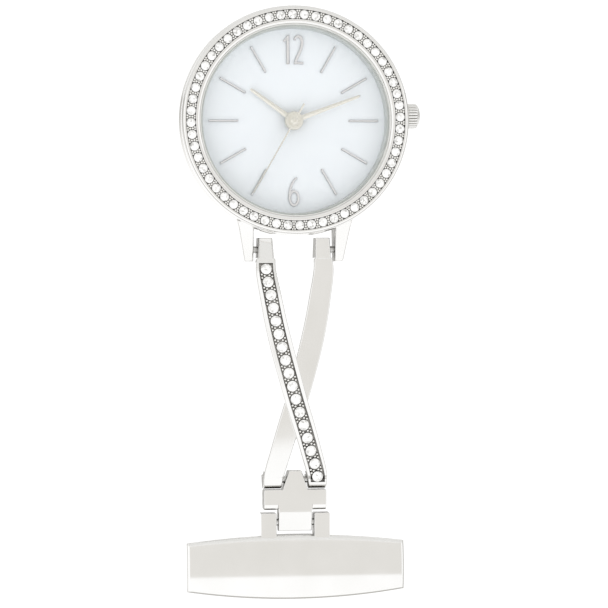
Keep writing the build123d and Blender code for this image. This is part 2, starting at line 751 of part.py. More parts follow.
def link():
    """Both bars, the stones and the pins of the crossed link."""
    plain = bar(-1, PLAIN_BAR_APEX)
    save(plain, "plain_bar")
    front_bar = bar(1, STONE_BAR_APEX)
    with BuildPart() as stone_bar:
        add(front_bar.part)
        add(channel(STONE_BAR_APEX).part, mode=Mode.SUBTRACT)
        add(plain.part, mode=Mode.SUBTRACT)
    save(stone_bar, "stone_bar")
    with BuildPart() as stones:
        for x, z in stone_spots():
            depth, slope = arch_depth(STONE_BAR_APEX, z)
            seat = Plane((x, HINGE_Y + depth, z), x_dir=(1, 0, 0),
                         z_dir=(0, -cos(radians(slope)), sin(radians(slope))))
            with BuildSketch(seat.offset(BAR_HALF_THICK - 0.06)) as girdle:
                Circle(BAR_STONE_R)
            extrude(amount=0.26, taper=40)
            extrude(girdle.sketch, amount=-0.38, taper=38)
    save(stones, "bar_stones")
    with BuildPart() as link_pin:
        with BuildSketch(side_plane(-4.5, 0, LINK_HINGE_Z)):
            Circle(PIN_R)
        extrude(amount=9.0)
    save(link_pin, "link_pin")
    with BuildPart() as lug_pins:
        with BuildSketch(side_plane(3.3, 0, HEAD_HINGE_Z)):
            Circle(PIN_R)
        extrude(amount=3.9)
        mirror(about=Plane.YZ)
    save(lug_pins, "lug_pins")


# ---------------------------------------------------------------- connector
def connector():
    """Solid block that joins the brooch ears to the crossed link."""
    with BuildPart() as block:
        with BuildSketch(front_plane(2, 0, 0)):
            Polygon((-4.45, -10.55), (-4.2, -10.98), (4.2, -10.98), (4.45, -10.55), (4.45, -8.9),
                    (4.2, -8.55), (-4.2, -8.55), (-4.45, -8.9), align=None)
            Polygon((-1.7, -10.9), (-0.85, -13.65), (0.85, -13.65), (1.7, -10.9), align=None)
            Polygon((-2.36, -8.6), (-2.36, -5.1), (2.36, -5.1), (2.36, -8.6), align=None)
        extrude(amount=4)
        with BuildSketch(side_plane(-6)):
            with Locations((0, (BROOCH_HINGE_Z + LINK_HINGE_Z) / 2)):
                Rectangle(2.2, BROOCH_HINGE_Z - LINK_HINGE_Z)
            with Locations((0, BROOCH_HINGE_Z)):
                Circle(1.22)
            with Locations((0, LINK_HINGE_Z)):
                Circle(1.28)
        extrude(amount=12, mode=Mode.INTERSECT)
        with BuildSketch(side_plane(-6)):
            with Locations((0, BROOCH_HINGE_Z), (0, LINK_HINGE_Z)):
                Circle(PIN_BORE_R)
        extrude(amount=12, mode=Mode.SUBTRACT)
    save(block, "connector")


# ---------------------------------------------------------------- brooch
def brooch_plate():
    """Front plate with a rounded face, hollow behind, and two ears below."""
    with BuildPart() as plate:
        with BuildSketch(front_plane(1.3, 0, 0)):
            with BuildLine():
                ThreePointArc((-PLATE_HALF_WIDTH, 3.22), (0, 4.48), (PLATE_HALF_WIDTH, 3.22))
                Line((PLATE_HALF_WIDTH, 3.22), (PLATE_HALF_WIDTH, -3.64))
                ThreePointArc((PLATE_HALF_WIDTH, -3.64), (0, -4.6), (-PLATE_HALF_WIDTH, -3.64))
                Line((-PLATE_HALF_WIDTH, -3.64), (-PLATE_HALF_WIDTH, 3.22))
            make_face()
        extrude(amount=3.0)
        with BuildSketch(side_plane(-16)):
            with BuildLine():
                ThreePointArc((-0.96, 4.6), (-1.7, 0), (-0.96, -4.7))
                Line((-0.96, -4.7), (1.3, -4.7))
                Line((1.3, -4.7), (1.3, 4.6))
                Line((1.3, 4.6), (-0.96, 4.6))
            make_face()
        extrude(amount=32, mode=Mode.INTERSECT)
        with BuildSketch(front_plane(1.3, 0, -0.1)):
            Rectangle(27.5, 5.2)
        extrude(amount=1.7, mode=Mode.SUBTRACT)
        with BuildSketch(side_plane(EAR_INNER)):
            with Locations((0, BROOCH_HINGE_Z)):
                Circle(1.5)
            with Locations((0.1, -3.9)):
                Rectangle(2.3, 0.6)
            make_hull()
        extrude(amount=EAR_OUTER - EAR_INNER)
        mirror(about=Plane.YZ)
        with BuildSketch(side_plane(-6, 0, BROOCH_HINGE_Z)):
            Circle(PIN_R)
        extrude(amount=12, mode=Mode.SUBTRACT)
    save(plate, "brooch_plate")
    with BuildPart() as pin:
        with BuildSketch(side_plane(-EAR_OUTER, 0, BROOCH_HINGE_Z)):
            Circle(PIN_R)
        extrude(amount=2 * EAR_OUTER)
    save(pin, "brooch_hinge_pin")


def pin_base():
    """Flat bar behind the plate with the ears of the pin pivot."""
    with BuildPart() as base:
        with BuildSketch(front_plane(2.0, 0, 0)):
            SlotOverall(25.6, 2.8)
        extrude(amount=0.7)
        for bottom in (-0.95, 0.45):
            with BuildSketch(Plane.XY.offset(bottom)):
                with Locations((PIN_PIVOT_X, 0)):
                    Circle(0.8)
                with Locations((PIN_PIVOT_X, HINGE_Y + 1.9)):
                    Rectangle(2.4, 0.3)
                make_hull()
            extrude(amount=0.5)
        with BuildSketch(Plane.XY.offset(-1)):
            with Locations((PIN_PIVOT_X, 0)):
                Circle(0.3)
        extrude(amount=2, mode=Mode.SUBTRACT)
    save(base, "pin_base")
    with BuildPart() as rivet:
        with BuildSketch(Plane.XY.offset(-1.15)):
            with Locations((PIN_PIVOT_X, 0)):
                Circle(0.3)
        extrude(amount=2.3)
        for bottom in (-1.15, 0.95):
            with BuildSketch(Plane.XY.offset(bottom)):
                with Locations((PIN_PIVOT_X, 0)):
                    Circle(0.5)
            extrude(amount=0.2)
    save(rivet, "pin_rivet")


def brooch_pin():
    """Pointed wire with its pivot eye."""
    with BuildPart() as pin:
        with BuildSketch(Plane.XY):
            with BuildLine():
                Polyline((PIN_PIVOT_X, 0), (PIN_PIVOT_X, 0.38), (-9.8, 0.62), (-WIRE_HALF, WIRE_R),
                         (WIRE_HALF, WIRE_R), (13.2, 0.06), (13.2, 0), (PIN_PIVOT_X, 0))
            make_face()
        revolve(axis=Axis.X)
        with BuildSketch(Plane.XY.offset(-0.4)):
            with Locations((PIN_PIVOT_X, 0)):
                Circle(0.72)
        extrude(amount=0.8)
        with BuildSketch(Plane.XY.offset(-1)):
            with Locations((PIN_PIVOT_X, 0)):
                Circle(0.34)
        extrude(amount=2, mode=Mode.SUBTRACT)
    save(pin, "brooch_pin")


def catch():
    """Open housing and the turning roller that locks the pin."""
    with BuildPart() as housing:
        with BuildSketch(Plane((CATCH_X, 0, 0), x_dir=(0, 1, 0), z_dir=(1, 0, 0))):
            Circle(1.5)
            with Locations((-1.25, 0)):
                Rectangle(0.7, 2.2)
            Circle(1.05, mode=Mode.SUBTRACT)
            with Locations((1.0, 0)):
                Rectangle(2.0, 1.0, mode=Mode.SUBTRACT)
        extrude(amount=1.7)
    save(housing, "catch_housing")
    with BuildPart() as roller:
        with BuildSketch(Plane((CATCH_X - 0.05, 0, 0), x_dir=(0, 1, 0), z_dir=(1, 0, 0))):
            Circle(1.0)
            Circle(0.56, mode=Mode.SUBTRACT)
            with Locations((1.0, 0)):
                Rectangle(2.0, 0.96, mode=Mode.SUBTRACT)
        extrude(amount=2.25)
        with BuildSketch(Plane((CATCH_X + 1.8, 0, 0), x_dir=(0, 1, 0), z_dir=(1, 0, 0))):
            with Locations(Location((polar(1.4, -75)[0], polar(1.4, -75)[1], 0), (0, 0, -75))):
                RectangleRounded(1.2, 0.8, 0.2)
        extrude(amount=0.4)
    save(roller, "catch_roller")


case_middle()
bezel()
bezel_stones()
case_parts()
crown_and_stem()
dial()
hands()
train()
main_plate()
bridge()
movement_ring()
electrics()
setting_lever()
link()
connector()
brooch_plate()
pin_base()
brooch_pin()
catch()
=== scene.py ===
"""Looks of the pendant fob watch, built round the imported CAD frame.

Lengths are millimetres, turned into metres by MM. The brooch is at the top, the watch hangs towards -Z,
the dial faces -Y, and the 12 of the dial lies towards -Z.
"""
import json
import math

import bmesh
import bpy
from mathutils import Matrix, Vector

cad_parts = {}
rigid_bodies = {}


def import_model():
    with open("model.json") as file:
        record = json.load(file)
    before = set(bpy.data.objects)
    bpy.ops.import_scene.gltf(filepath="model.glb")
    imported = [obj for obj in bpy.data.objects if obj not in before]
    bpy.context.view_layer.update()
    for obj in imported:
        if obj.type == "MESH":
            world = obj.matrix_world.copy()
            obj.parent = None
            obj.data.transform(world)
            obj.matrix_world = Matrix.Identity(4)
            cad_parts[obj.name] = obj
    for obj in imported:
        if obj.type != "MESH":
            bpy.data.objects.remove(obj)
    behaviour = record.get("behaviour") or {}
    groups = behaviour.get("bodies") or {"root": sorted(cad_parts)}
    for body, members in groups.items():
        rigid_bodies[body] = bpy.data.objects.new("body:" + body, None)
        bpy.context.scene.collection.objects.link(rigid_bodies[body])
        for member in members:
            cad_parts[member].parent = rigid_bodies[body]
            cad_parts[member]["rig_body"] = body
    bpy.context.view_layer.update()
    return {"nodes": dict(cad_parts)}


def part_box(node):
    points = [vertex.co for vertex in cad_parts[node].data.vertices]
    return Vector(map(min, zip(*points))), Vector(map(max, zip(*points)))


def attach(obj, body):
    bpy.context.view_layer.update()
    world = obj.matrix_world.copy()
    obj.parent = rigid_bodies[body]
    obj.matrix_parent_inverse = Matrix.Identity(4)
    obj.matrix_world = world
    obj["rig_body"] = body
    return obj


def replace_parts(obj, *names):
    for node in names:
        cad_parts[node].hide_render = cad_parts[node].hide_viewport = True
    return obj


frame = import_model()

MM = 0.001
NODES = frame["nodes"]
scene = bpy.context.scene

# ---- reference points from the CAD
def span(node, axis):
    """Lowest and highest coordinate of a node along one axis, in millimetres."""
    low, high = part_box(node)
    return getattr(low, axis) / MM, getattr(high, axis) / MM


def middle_of(node):
    """Middle of a node's box in millimetres."""
    low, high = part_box(node)
    return (low + high) / 2 / MM


CENTRE_X = sum(span("dial", "x")) / 2
CENTRE_Z = sum(span("dial", "z")) / 2
BEZEL_FRONT, BEZEL_REAR = span("bezel", "y")
BROOCH_HINGE = middle_of("brooch_hinge_pin")
LINK_HINGE = middle_of("link_pin")
HEAD_HINGE = middle_of("lug_pins")
HINGE_Y = BROOCH_HINGE.y
OUT = Vector((0, -1, 0))


# ---- materials
def node_material(name, base, metallic=0.0, roughness=0.4, **sockets):
    """A Principled material with its constant values set on the shader itself."""
    material = bpy.data.materials.new(name)
    material.use_nodes = True
    shader = material.node_tree.nodes["Principled BSDF"]
    shader.inputs["Base Color"].default_value = (*base, 1)
    shader.inputs["Metallic"].default_value = metallic
    shader.inputs["Roughness"].default_value = roughness
    for key, value in sockets.items():
        shader.inputs[key.replace("_", " ")].default_value = value
    return material


def add_node(tree, kind, **values):
    """New shader node with constants on its named inputs."""
    node = tree.nodes.new("ShaderNode" + kind)
    for key, value in values.items():
        node.inputs[key.replace("_", " ")].default_value = value
    return node


def add_ramp(tree, socket, stops):
    """Colour ramp fed by a socket; stops are (position, colour)."""
    ramp = add_node(tree, "ValToRGB")
    elements = ramp.color_ramp.elements
    for index, (position, colour) in ((0, stops[0]), (1, stops[-1])):
        elements[index].position = position
        elements[index].color = (*colour, 1)
    for position, colour in stops[1:-1]:
        elements.new(position).color = (*colour, 1)
    tree.links.new(socket, ramp.inputs["Fac"])
    return ramp.outputs["Color"]


def noise_ramp(tree, scale, stops, stretch=(1, 1, 1), detail=4.0):
    """Noise in object space and the same noise through a colour ramp."""
    place = add_node(tree, "TexCoord")
    mapping = add_node(tree, "Mapping", Scale=stretch)
    noise = add_node(tree, "TexNoise", Scale=scale, Detail=detail)
    tree.links.new(place.outputs["Object"], mapping.inputs["Vector"])
    tree.links.new(mapping.outputs["Vector"], noise.inputs["Vector"])
    return noise.outputs["Fac"], add_ramp(tree, noise.outputs["Fac"], stops)


BUMP_DISTANCE = 0.00002


def textured(name, dark, light, metallic, rough_low, rough_high, scale=900.0, bump=0.02,
             stretch=(1, 1, 1), **sockets):
    """Slight colour, roughness and height variation over a surface."""
    material = node_material(name, light, metallic, rough_low, **sockets)
    tree = material.node_tree
    shader = tree.nodes["Principled BSDF"]
    _, colour = noise_ramp(tree, scale * 0.35, [(0.3, dark), (0.7, light)], stretch)
    tree.links.new(colour, shader.inputs["Base Color"])
    low, high = (rough_low,) * 3, (rough_high,) * 3
    noise, rough = noise_ramp(tree, scale, [(0.35, low), (0.75, high)], stretch, 6.0)
    tree.links.new(rough, shader.inputs["Roughness"])
    if bump:
        height = add_node(tree, "Bump", Strength=bump, Distance=BUMP_DISTANCE)
        tree.links.new(noise, height.inputs["Height"])
        tree.links.new(height.outputs["Normal"], shader.inputs["Normal"])
    return material


STEEL = textured("polished_silver_plate", (0.86, 0.855, 0.84), (0.90, 0.895, 0.885), 1.0, 0.09, 0.13,
                 scale=500, bump=0.004)
STEEL_SATIN = textured("satin_steel", (0.62, 0.62, 0.61), (0.69, 0.69, 0.68), 1.0, 0.24, 0.32,
                       scale=2600, bump=0.05, stretch=(0.08, 1, 1))
# Dark channel floor under the stones: partly oxide, partly painted shade in the recess round the stones.
CHANNEL_OXIDE_AND_SHADE = textured("channel_oxide_and_painted_shade", (0.13, 0.125, 0.115), (0.40, 0.39, 0.37), 1.0, 0.25, 0.45,
                   scale=2600, bump=0.2)
# Painted shade for the bottoms of the crown's grooves.
GROOVE = textured("shaded_grooves", (0.34, 0.33, 0.31), (0.48, 0.47, 0.44), 1.0, 0.25, 0.4, scale=2600)
GRAIN = textured("polished_grains", (0.88, 0.87, 0.84), (0.96, 0.955, 0.94), 1.0, 0.10, 0.2, scale=3000)
DIAL_PAINT = textured("dial_lacquer", (0.815, 0.855, 0.895), (0.84, 0.88, 0.915), 0.0, 0.34, 0.42,
                      scale=2500, bump=0.006, Coat_Weight=0.25)
HAND_METAL = textured("champagne_silver", (0.755, 0.735, 0.66), (0.79, 0.77, 0.70), 0.85, 0.20, 0.26,
                      scale=900, bump=0.004)
MARK_METAL = textured("applied_silver", (0.80, 0.80, 0.82), (0.84, 0.84, 0.855), 1.0, 0.12, 0.18,
                      scale=900, bump=0.004)
# Painted shade on the flanks of the applied batons and numerals.
MARK_FLANK_SHADE = textured("mark_flanks_painted_shade", (0.40, 0.40, 0.415), (0.48, 0.48, 0.49), 1.0, 0.2, 0.3,
                     scale=900, bump=0.004)
# Painted shade for side faces that sit in narrow gaps between parts, where little light reaches.
SHADE = textured("painted_gap_shade", (0.30, 0.29, 0.27), (0.42, 0.41, 0.385), 1.0, 0.3, 0.45, scale=2000,
                 bump=0.03)
REHAUT = textured("inner_ring_grey", (0.50, 0.53, 0.515), (0.56, 0.59, 0.575), 0.35, 0.32, 0.42,
                  scale=2500, bump=0.02)
BRASS = textured("gilt_brass", (0.62, 0.45, 0.18), (0.78, 0.60, 0.29), 1.0, 0.18, 0.32, scale=3000)
NICKEL = textured("nickel_brass", (0.60, 0.57, 0.50), (0.74, 0.71, 0.64), 1.0, 0.24, 0.36, scale=2400,
                  bump=0.05)
IRON = textured("tool_steel", (0.30, 0.31, 0.33), (0.42, 0.43, 0.45), 1.0, 0.28, 0.42, scale=2600)
RUBBER = textured("black_gasket", (0.015, 0.015, 0.016), (0.04, 0.04, 0.042), 0.0, 0.55, 0.75, scale=3000,
                  bump=0.2)
NYLON = textured("natural_nylon", (0.72, 0.72, 0.69), (0.82, 0.82, 0.79), 0.0, 0.38, 0.55, scale=2200,
                 bump=0.08)
BOARD = textured("green_board", (0.01, 0.10, 0.05), (0.02, 0.17, 0.08), 0.0, 0.35, 0.5, scale=2500)
CHIP = textured("black_resin", (0.010, 0.010, 0.012), (0.03, 0.03, 0.034), 0.0, 0.4, 0.6, scale=2500)
COPPER = textured("enamelled_wire", (0.45, 0.17, 0.07), (0.66, 0.30, 0.14), 0.9, 0.2, 0.35, scale=2000,
                  stretch=(9, 0.4, 0.4), bump=0.3)


FACET_CELLS = 3600
# Greys of the painted facet reflections inside the stones.
FACET_REFLECTION_STOPS = [(0.12, (0.55, 0.545, 0.53)), (0.42, (0.97, 0.968, 0.96))]


def cut_stone():
    """Foil-backed crystal: bright, with a broken grey pattern painted in as the reflections of its inner
    facets.
    """
    material = node_material("cut_crystal", (0.95, 0.95, 0.94), 0.0, 0.04, IOR=1.75)
    tree = material.node_tree
    place = add_node(tree, "TexCoord")
    cells = add_node(tree, "TexVoronoi", Scale=FACET_CELLS)
    tree.links.new(place.outputs["Object"], cells.inputs["Vector"])
    tree.links.new(add_ramp(tree, cells.outputs["Color"], FACET_REFLECTION_STOPS),
                   tree.nodes["Principled BSDF"].inputs["Base Color"])
    return material


def crystal_glass():
    """Watch crystal that lets the light through and only mirrors a little."""
    material = node_material("crystal_glass", (1, 1, 1), 0.0, 0.0, IOR=1.45, Alpha=0.04)
    tree = material.node_tree
    _, rough = noise_ramp(tree, 60, [(0.3, (0.002,) * 3), (0.8, (0.012,) * 3)])
    tree.links.new(rough, tree.nodes["Principled BSDF"].inputs["Roughness"])
    return material


STONE = cut_stone()
FOIL = textured("stone_foil", (0.90, 0.895, 0.88), (0.98, 0.975, 0.97), 0.3, 0.25, 0.4, scale=1500, bump=0)
CRYSTAL = crystal_glass()


# ---- mesh helpers
FLAT_FACE_WEIGHT = 80


def bake_modifiers(thing):
    """Turn the modifiers of an object into plain mesh."""
    bpy.context.view_layer.update()
    seen = thing.evaluated_get(bpy.context.evaluated_depsgraph_get())
    thing.data = bpy.data.meshes.new_from_object(seen)
    thing.modifiers.clear()


def weight_normals(thing, weight=None):
    """Let big faces keep their own normals, so that they stay flat between rounded edges."""
    level = thing.modifiers.new("weighted", "WEIGHTED_NORMAL")
    level.keep_sharp = True
    level.weight = weight or level.weight
    bake_modifiers(thing)


def build(name, points, faces, materials, body, smooth_angle=35.0, face_slots=None, weighted=False):
    """Mesh object from millimetre points, riding on a body."""
    mesh = bpy.data.meshes.new(name)
    mesh.from_pydata([Vector(p) * MM for p in points], [], faces)
    for material in materials:
        mesh.materials.append(material)
    if face_slots:
        mesh.polygons.foreach_set("material_index", face_slots)
    tidy = bmesh.new()
    tidy.from_mesh(mesh)
    bmesh.ops.recalc_face_normals(tidy, faces=tidy.faces)
    tidy.to_mesh(mesh)
    tidy.free()
    if smooth_angle:
        mesh.polygons.foreach_set("use_smooth", [True] * len(mesh.polygons))
        mesh.set_sharp_from_angle(angle=math.radians(smooth_angle))
    mesh.update()
    thing = bpy.data.objects.new(name, mesh)
    scene.collection.objects.link(thing)
    if weighted:
        weight_normals(thing, FLAT_FACE_WEIGHT)
    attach(thing, body)
    return thing


def wrap(faces, start, rows, count, closed=True):
    """Quads between neighbouring rings of count points; closed joins the last ring to the first."""
    for row in range(rows if closed else rows - 1):
        here, there = start + row * count, start + (row + 1) % rows * count
        for index in range(count):
            after = (index + 1) % count
            faces.append((here + index, here + after, there + after, there + index))


def tube(faces, start, rows, count):
    """Rings of count points joined by quads, with a cap at each end."""
    wrap(faces, start, rows, count, closed=False)
    last = start + (rows - 1) * count
    faces += [tuple(range(start, start + count)), tuple(range(last, last + count))]


def turn_profile(points, faces, profile, segments):
    """Add a closed profile of (radius, y) turned round the head's axis."""
    start = len(points)
    for step in range(segments):
        turn = 2 * math.pi * step / segments
        across, up = math.cos(turn), math.sin(turn)
        points.extend((CENTRE_X + radius * across, depth, CENTRE_Z + radius * up)
                      for radius, depth in profile)
    wrap(faces, start, segments, len(profile))


def lathe(name, profile, materials, segments=240, second=()):
    """Turned piece of the case; the profile's edges in second take the second material."""
    points, faces = [], []
    turn_profile(points, faces, profile, segments)
    slots = [int(index in second) for _ in range(segments) for index in range(len(profile))]
    return build(name, points, faces, materials, "case", 30.0, slots)


WELD_DISTANCE = 3e-6
FLAT_DEGREES = 0.8
EDGE_DEGREES = 32.0
EDGE_SEGMENTS = 3


def refined(node, width, material):
    """CAD node with its edges rounded off; stands for the plain node."""
    source = NODES[node]
    mesh = source.data.copy()
    mesh.materials.clear()
    mesh.materials.append(material)
    tidy = bmesh.new()
    tidy.from_mesh(mesh)
    bmesh.ops.remove_doubles(tidy, verts=tidy.verts, dist=WELD_DISTANCE)
    bmesh.ops.dissolve_limit(tidy, angle_limit=math.radians(FLAT_DEGREES), verts=tidy.verts, edges=tidy.edges)
    bmesh.ops.recalc_face_normals(tidy, faces=tidy.faces)
    for face in tidy.faces:
        face.smooth = True
        face.material_index = 0
    tidy.to_mesh(mesh)
    tidy.free()
    thing = bpy.data.objects.new(node + "_finished", mesh)
    scene.collection.objects.link(thing)
    edge = thing.modifiers.new("edge", "BEVEL")
    edge.width = width * MM
    edge.segments = EDGE_SEGMENTS
    edge.limit_method = "ANGLE"
    edge.angle_limit = math.radians(EDGE_DEGREES)
    edge.harden_normals = True
    edge.use_clamp_overlap = True
    bake_modifiers(thing)
    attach(thing, source["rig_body"])
    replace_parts(thing, node)


def mitred(outline, distance, least):
    """Outline moved to its own left by a distance; least limits the reach of sharp corners."""
    moved = []
    for index, here in enumerate(outline):
        before, after = outline[index - 1], outline[(index + 1) % len(outline)]
        first = Vector((here[0] - before[0], here[1] - before[1])).normalized()
        second = Vector((after[0] - here[0], after[1] - here[1])).normalized()
        left = Vector((-(first.y + second.y), first.x + second.x)).normalized()
        reach = distance / max(least, left.dot(Vector((-first.y, first.x))))
        moved.append((here[0] + left.x * reach, here[1] + left.y * reach))
    return moved


def inset(outline, distance):
    """Outline moved inwards, whichever way round it runs."""
    area = sum(a[0] * b[1] - b[0] * a[1] for a, b in zip(outline, outline[1:] + outline[:1]))
    return mitred(outline, math.copysign(distance, area), 0.4)


def rim_steps(radius, steps=4):
    """(inset, depth) pairs of a quarter-round rim, from the face to the side."""
    pairs = []
    for index in range(steps + 1):
        turn = math.pi / 2 * index / steps
        pairs.append((radius * (1 - math.sin(turn)), radius * (1 - math.cos(turn))))
    return pairs


def slab(points, faces, outline, near, far, rim, place):
    """Outline carried from level near to level far with both rims rounded; place(u, v, level)."""
    start = len(points)
    way = 1 if far > near else -1
    stations = [(back, near + way * down) for back, down in rim_steps(rim)]
    stations += [(back, far - way * down) for back, down in reversed(rim_steps(rim * 0.6))]
    for back, level in stations:
        points.extend(place(u, v, level) for u, v in (inset(outline, back) if back > 1e-6 else outline))
    tube(faces, start, len(stations), len(outline))


def clock(radius, hour_angle):
    """Point of the dial at a clock angle; the 12 lies towards -Z."""
    turn = math.radians(hour_angle)
    return CENTRE_X - radius * math.sin(turn), CENTRE_Z - radius * math.cos(turn)


# ---- bezel with its stones
CHANNEL_EDGES = (8, 9, 10)


def bezel():
    """Turned bezel whose channel floor is dark with oxide and painted shade."""
    front, rear = BEZEL_FRONT, BEZEL_REAR
    floor = front + 0.62
    profile = [(13.46, rear + 0.02), (13.46, front + 0.22), (13.49, front + 0.13), (13.54, front + 0.09),
               (13.70, front + 0.02), (13.75, front), (13.97, front), (14.02, front + 0.02),
               (14.05, front + 0.08), (14.06, floor), (15.38, floor), (15.39, front + 0.08),
               (15.42, front + 0.02), (15.48, front), (15.70, front + 0.03), (15.86, front + 0.15),
               (15.96, front + 0.36), (16.0, front + 0.66), (16.0, rear - 0.12), (15.92, rear - 0.02),
               (15.8, rear)]
    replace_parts(lathe("bezel_ring", profile, [STEEL, CHANNEL_OXIDE_AND_SHADE], second=CHANNEL_EDGES), "bezel")


def brilliant(points, faces, slots, centre, across, along, out, radius, crown, depth):
    """Add one round brilliant; out is the facing direction, slots 0 glass and 1 foil."""
    start = len(points)

    def place(r, turn, height):
        points.append(tuple(centre + across * (r * math.cos(turn)) + along * (r * math.sin(turn))
                            + out * height))

    step = math.pi / 4
    girdle = 0.03
    for count, reach, lead, height in ((8, 0.56, 0, crown), (8, 0.80, 0.5, crown * 0.62), (16, 1, 0, girdle),
                                       (16, 1, 0, -girdle), (8, 0.5, 0.5, -depth * 0.55)):
        for index in range(count):
            place(radius * reach, step * 8 / count * (index + lead), height)
    points.append(tuple(centre - out * depth))
    table, kite, top, low, mid, tip = (start, start + 8, start + 16, start + 32, start + 48, start + 56)

    def face(corners, slot):
        faces.append(tuple(corners))
        slots.append(slot)

    face([table + index for index in range(8)], 0)
    for index in range(8):
        after = (index + 1) % 8
        face((table + index, table + after, kite + index), 0)
        face((table + after, kite + index, top + (2 * after) % 16, kite + after), 0)
        face((kite + index, top + 2 * index, top + 2 * index + 1), 0)
        face((kite + index, top + 2 * index + 1, top + (2 * index + 2) % 16), 0)
        face((low + 2 * index, low + 2 * index + 1, mid + index), 1)
        face((low + 2 * index + 1, low + (2 * index + 2) % 16, mid + index), 1)
        face((low + (2 * after) % 16, mid + index, tip, mid + after), 1)
    for index in range(16):
        after = (index + 1) % 16
        face((top + index, top + after, low + after, low + index), 1)


BEAD_WRAP = math.pi * 0.62


def bead(points, faces, centre, out, across, along, radius, stretch=1.0, rings=5, sides=10):
    """Add one rounded grain of metal."""
    start = len(points)
    points.append(tuple(centre + out * radius))
    for ring in range(1, rings + 1):
        lift = BEAD_WRAP * ring / rings
        for side in range(sides):
            turn = 2 * math.pi * side / sides
            points.append(tuple(centre + out * (radius * math.cos(lift))
                                + across * (radius * math.sin(lift) * math.cos(turn))
                                + along * (radius * stretch * math.sin(lift) * math.sin(turn))))
    faces += [(start, start + 1 + side, start + 1 + (side + 1) % sides) for side in range(sides)]
    wrap(faces, start + 1, rings, sides, closed=False)
    faces.append(tuple(range(start + rings * sides, start + (rings - 1) * sides, -1)))


STONE_COUNT = 56
STONE_RING_R = 14.72
BEZEL_STONE_R = 0.635
FIRST_STONE = -1.65
BEZEL_GRAINS = ((14.21, 0.17, -0.62), (14.21, 0.17, 0.62), (14.53, 0.19, 0.0), (14.90, 0.19, 0.0),
                (15.22, 0.18, -0.62), (15.22, 0.18, 0.62))


def add_stones(name, node, points, faces, slots, grain_name, grain_points, grain_faces, body):
    """Build the brilliants of one setting, which stand for the CAD stones, and their grains."""
    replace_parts(build(name, points, faces, [STONE, FOIL], body, 0, slots), node)
    build(grain_name, grain_points, grain_faces, [GRAIN], body, 60)


def bezel_stones():
    """Ring of brilliants and the grains that hold them."""
    table, _ = span("bezel_stones", "y")
    points, faces, slots = [], [], []
    bead_points, bead_faces = [], []
    pitch = 360 / STONE_COUNT
    for index in range(STONE_COUNT):
        angle = FIRST_STONE + index * pitch
        x, z = clock(STONE_RING_R, angle)
        spoke = Vector((x - CENTRE_X, 0, z - CENTRE_Z)).normalized()
        tilt = Matrix.Rotation(math.radians(23.0 * (index * 7 % 5)), 3, OUT)
        brilliant(points, faces, slots, Vector((x, table + 0.25, z)), tilt @ spoke, tilt @ spoke.cross(OUT),
                  OUT, BEZEL_STONE_R, 0.24, 0.42)
        for radius, size, shift in BEZEL_GRAINS:
            x, z = clock(radius, angle + pitch / 2 + shift)
            spoke = Vector((x - CENTRE_X, 0, z - CENTRE_Z)).normalized()
            bead(bead_points, bead_faces, Vector((x, BEZEL_FRONT + 0.02 + size, z)), OUT, spoke,
                 spoke.cross(OUT), size, 0.95)
    add_stones("bezel_brilliants", "bezel_stones", points, faces, slots, "bezel_grains", bead_points,
               bead_faces, "case")


# ---- crystal, inner ring and dial
def head_rings():
    """Crystal, inner ring, gasket, dial disc and case back."""
    top, bottom = span("crystal", "y")
    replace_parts(lathe("crystal_disc", [
        (0.001, top + 0.02), (6.0, top + 0.03), (11.0, top + 0.05), (12.9, top + 0.08), (13.1, top + 0.13),
        (13.26, top + 0.3), (13.3, top + 0.5), (13.3, bottom - 0.05), (13.25, bottom), (0.001, bottom)],
        [CRYSTAL]), "crystal")
    top, bottom = span("crystal_gasket", "y")
    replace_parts(lathe("crystal_gasket_turned", [(13.31, top), (13.44, top), (13.44, bottom), (13.31, bottom)],
                      [NYLON]), "crystal_gasket")
    top, bottom = span("inner_ring", "y")
    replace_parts(lathe("inner_ring_turned", [
        (12.92, bottom - 0.01), (12.98, top + 0.05), (13.06, top), (13.36, top), (13.4, top + 0.05),
        (13.4, top + 0.84), (14.2, top + 0.86), (14.24, bottom - 0.01)], [REHAUT]), "inner_ring")
    top, bottom = span("dial", "y")
    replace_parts(lathe("dial_disc", [
        (1.02, top + 0.02), (1.08, top), (14.1, top), (14.18, top + 0.06), (14.18, bottom - 0.02),
        (14.1, bottom), (1.02, bottom)], [DIAL_PAINT]), "dial")
    front, rear = span("case_back", "y")
    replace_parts(lathe("case_back_turned", [
        (0.001, rear - 0.12), (11.0, rear - 0.12), (11.3, rear - 0.1), (11.45, rear - 0.02), (11.6, rear),
        (15.2, rear), (15.5, rear - 0.08), (15.7, rear - 0.25), (15.8, rear - 0.45), (15.8, rear - 0.78),
        (14.25, rear - 0.8), (14.22, front), (13.62, front), (13.6, rear - 0.8), (0.001, rear - 0.8)],
        [STEEL_SATIN]), "case_back")


def prism(points, faces, outline, rear, front, bevel, plane):
    """Raised outline with bevelled top edges; plane maps (u, v, y) to a point."""
    start = len(points)
    for ring, depth in ((outline, rear), (outline, front + bevel), (mitred(outline, bevel, 0.35), front)):
        points.extend(plane(u, v, depth) for u, v in ring)
    tube(faces, start, 3, len(outline))


def dial_point(u, v, depth):
    """Dial coordinates, u to the 3 o'clock side and v to the 12, to the record's frame."""
    return (CENTRE_X - u, depth, CENTRE_Z - v)


def dial_turned(angle):
    """The same for a shape drawn at the 12 and turned clockwise by an angle."""
    across, up = math.cos(math.radians(angle)), math.sin(math.radians(angle))
    return lambda u, v, depth: dial_point(u * across + v * up, -u * up + v * across, depth)


FLANK_DEPTH = 0.12


def flank_slots(points, faces, front):
    """Slot 1, which takes the painted shade, for the faces that run down to the dial, 0 for the tops."""
    return [1 if max(points[index][1] for index in face) > front + FLANK_DEPTH else 0 for face in faces]


BATON_HALF, BATON_FOOT, BATON_TOP = 0.16, 7.82, 11.98


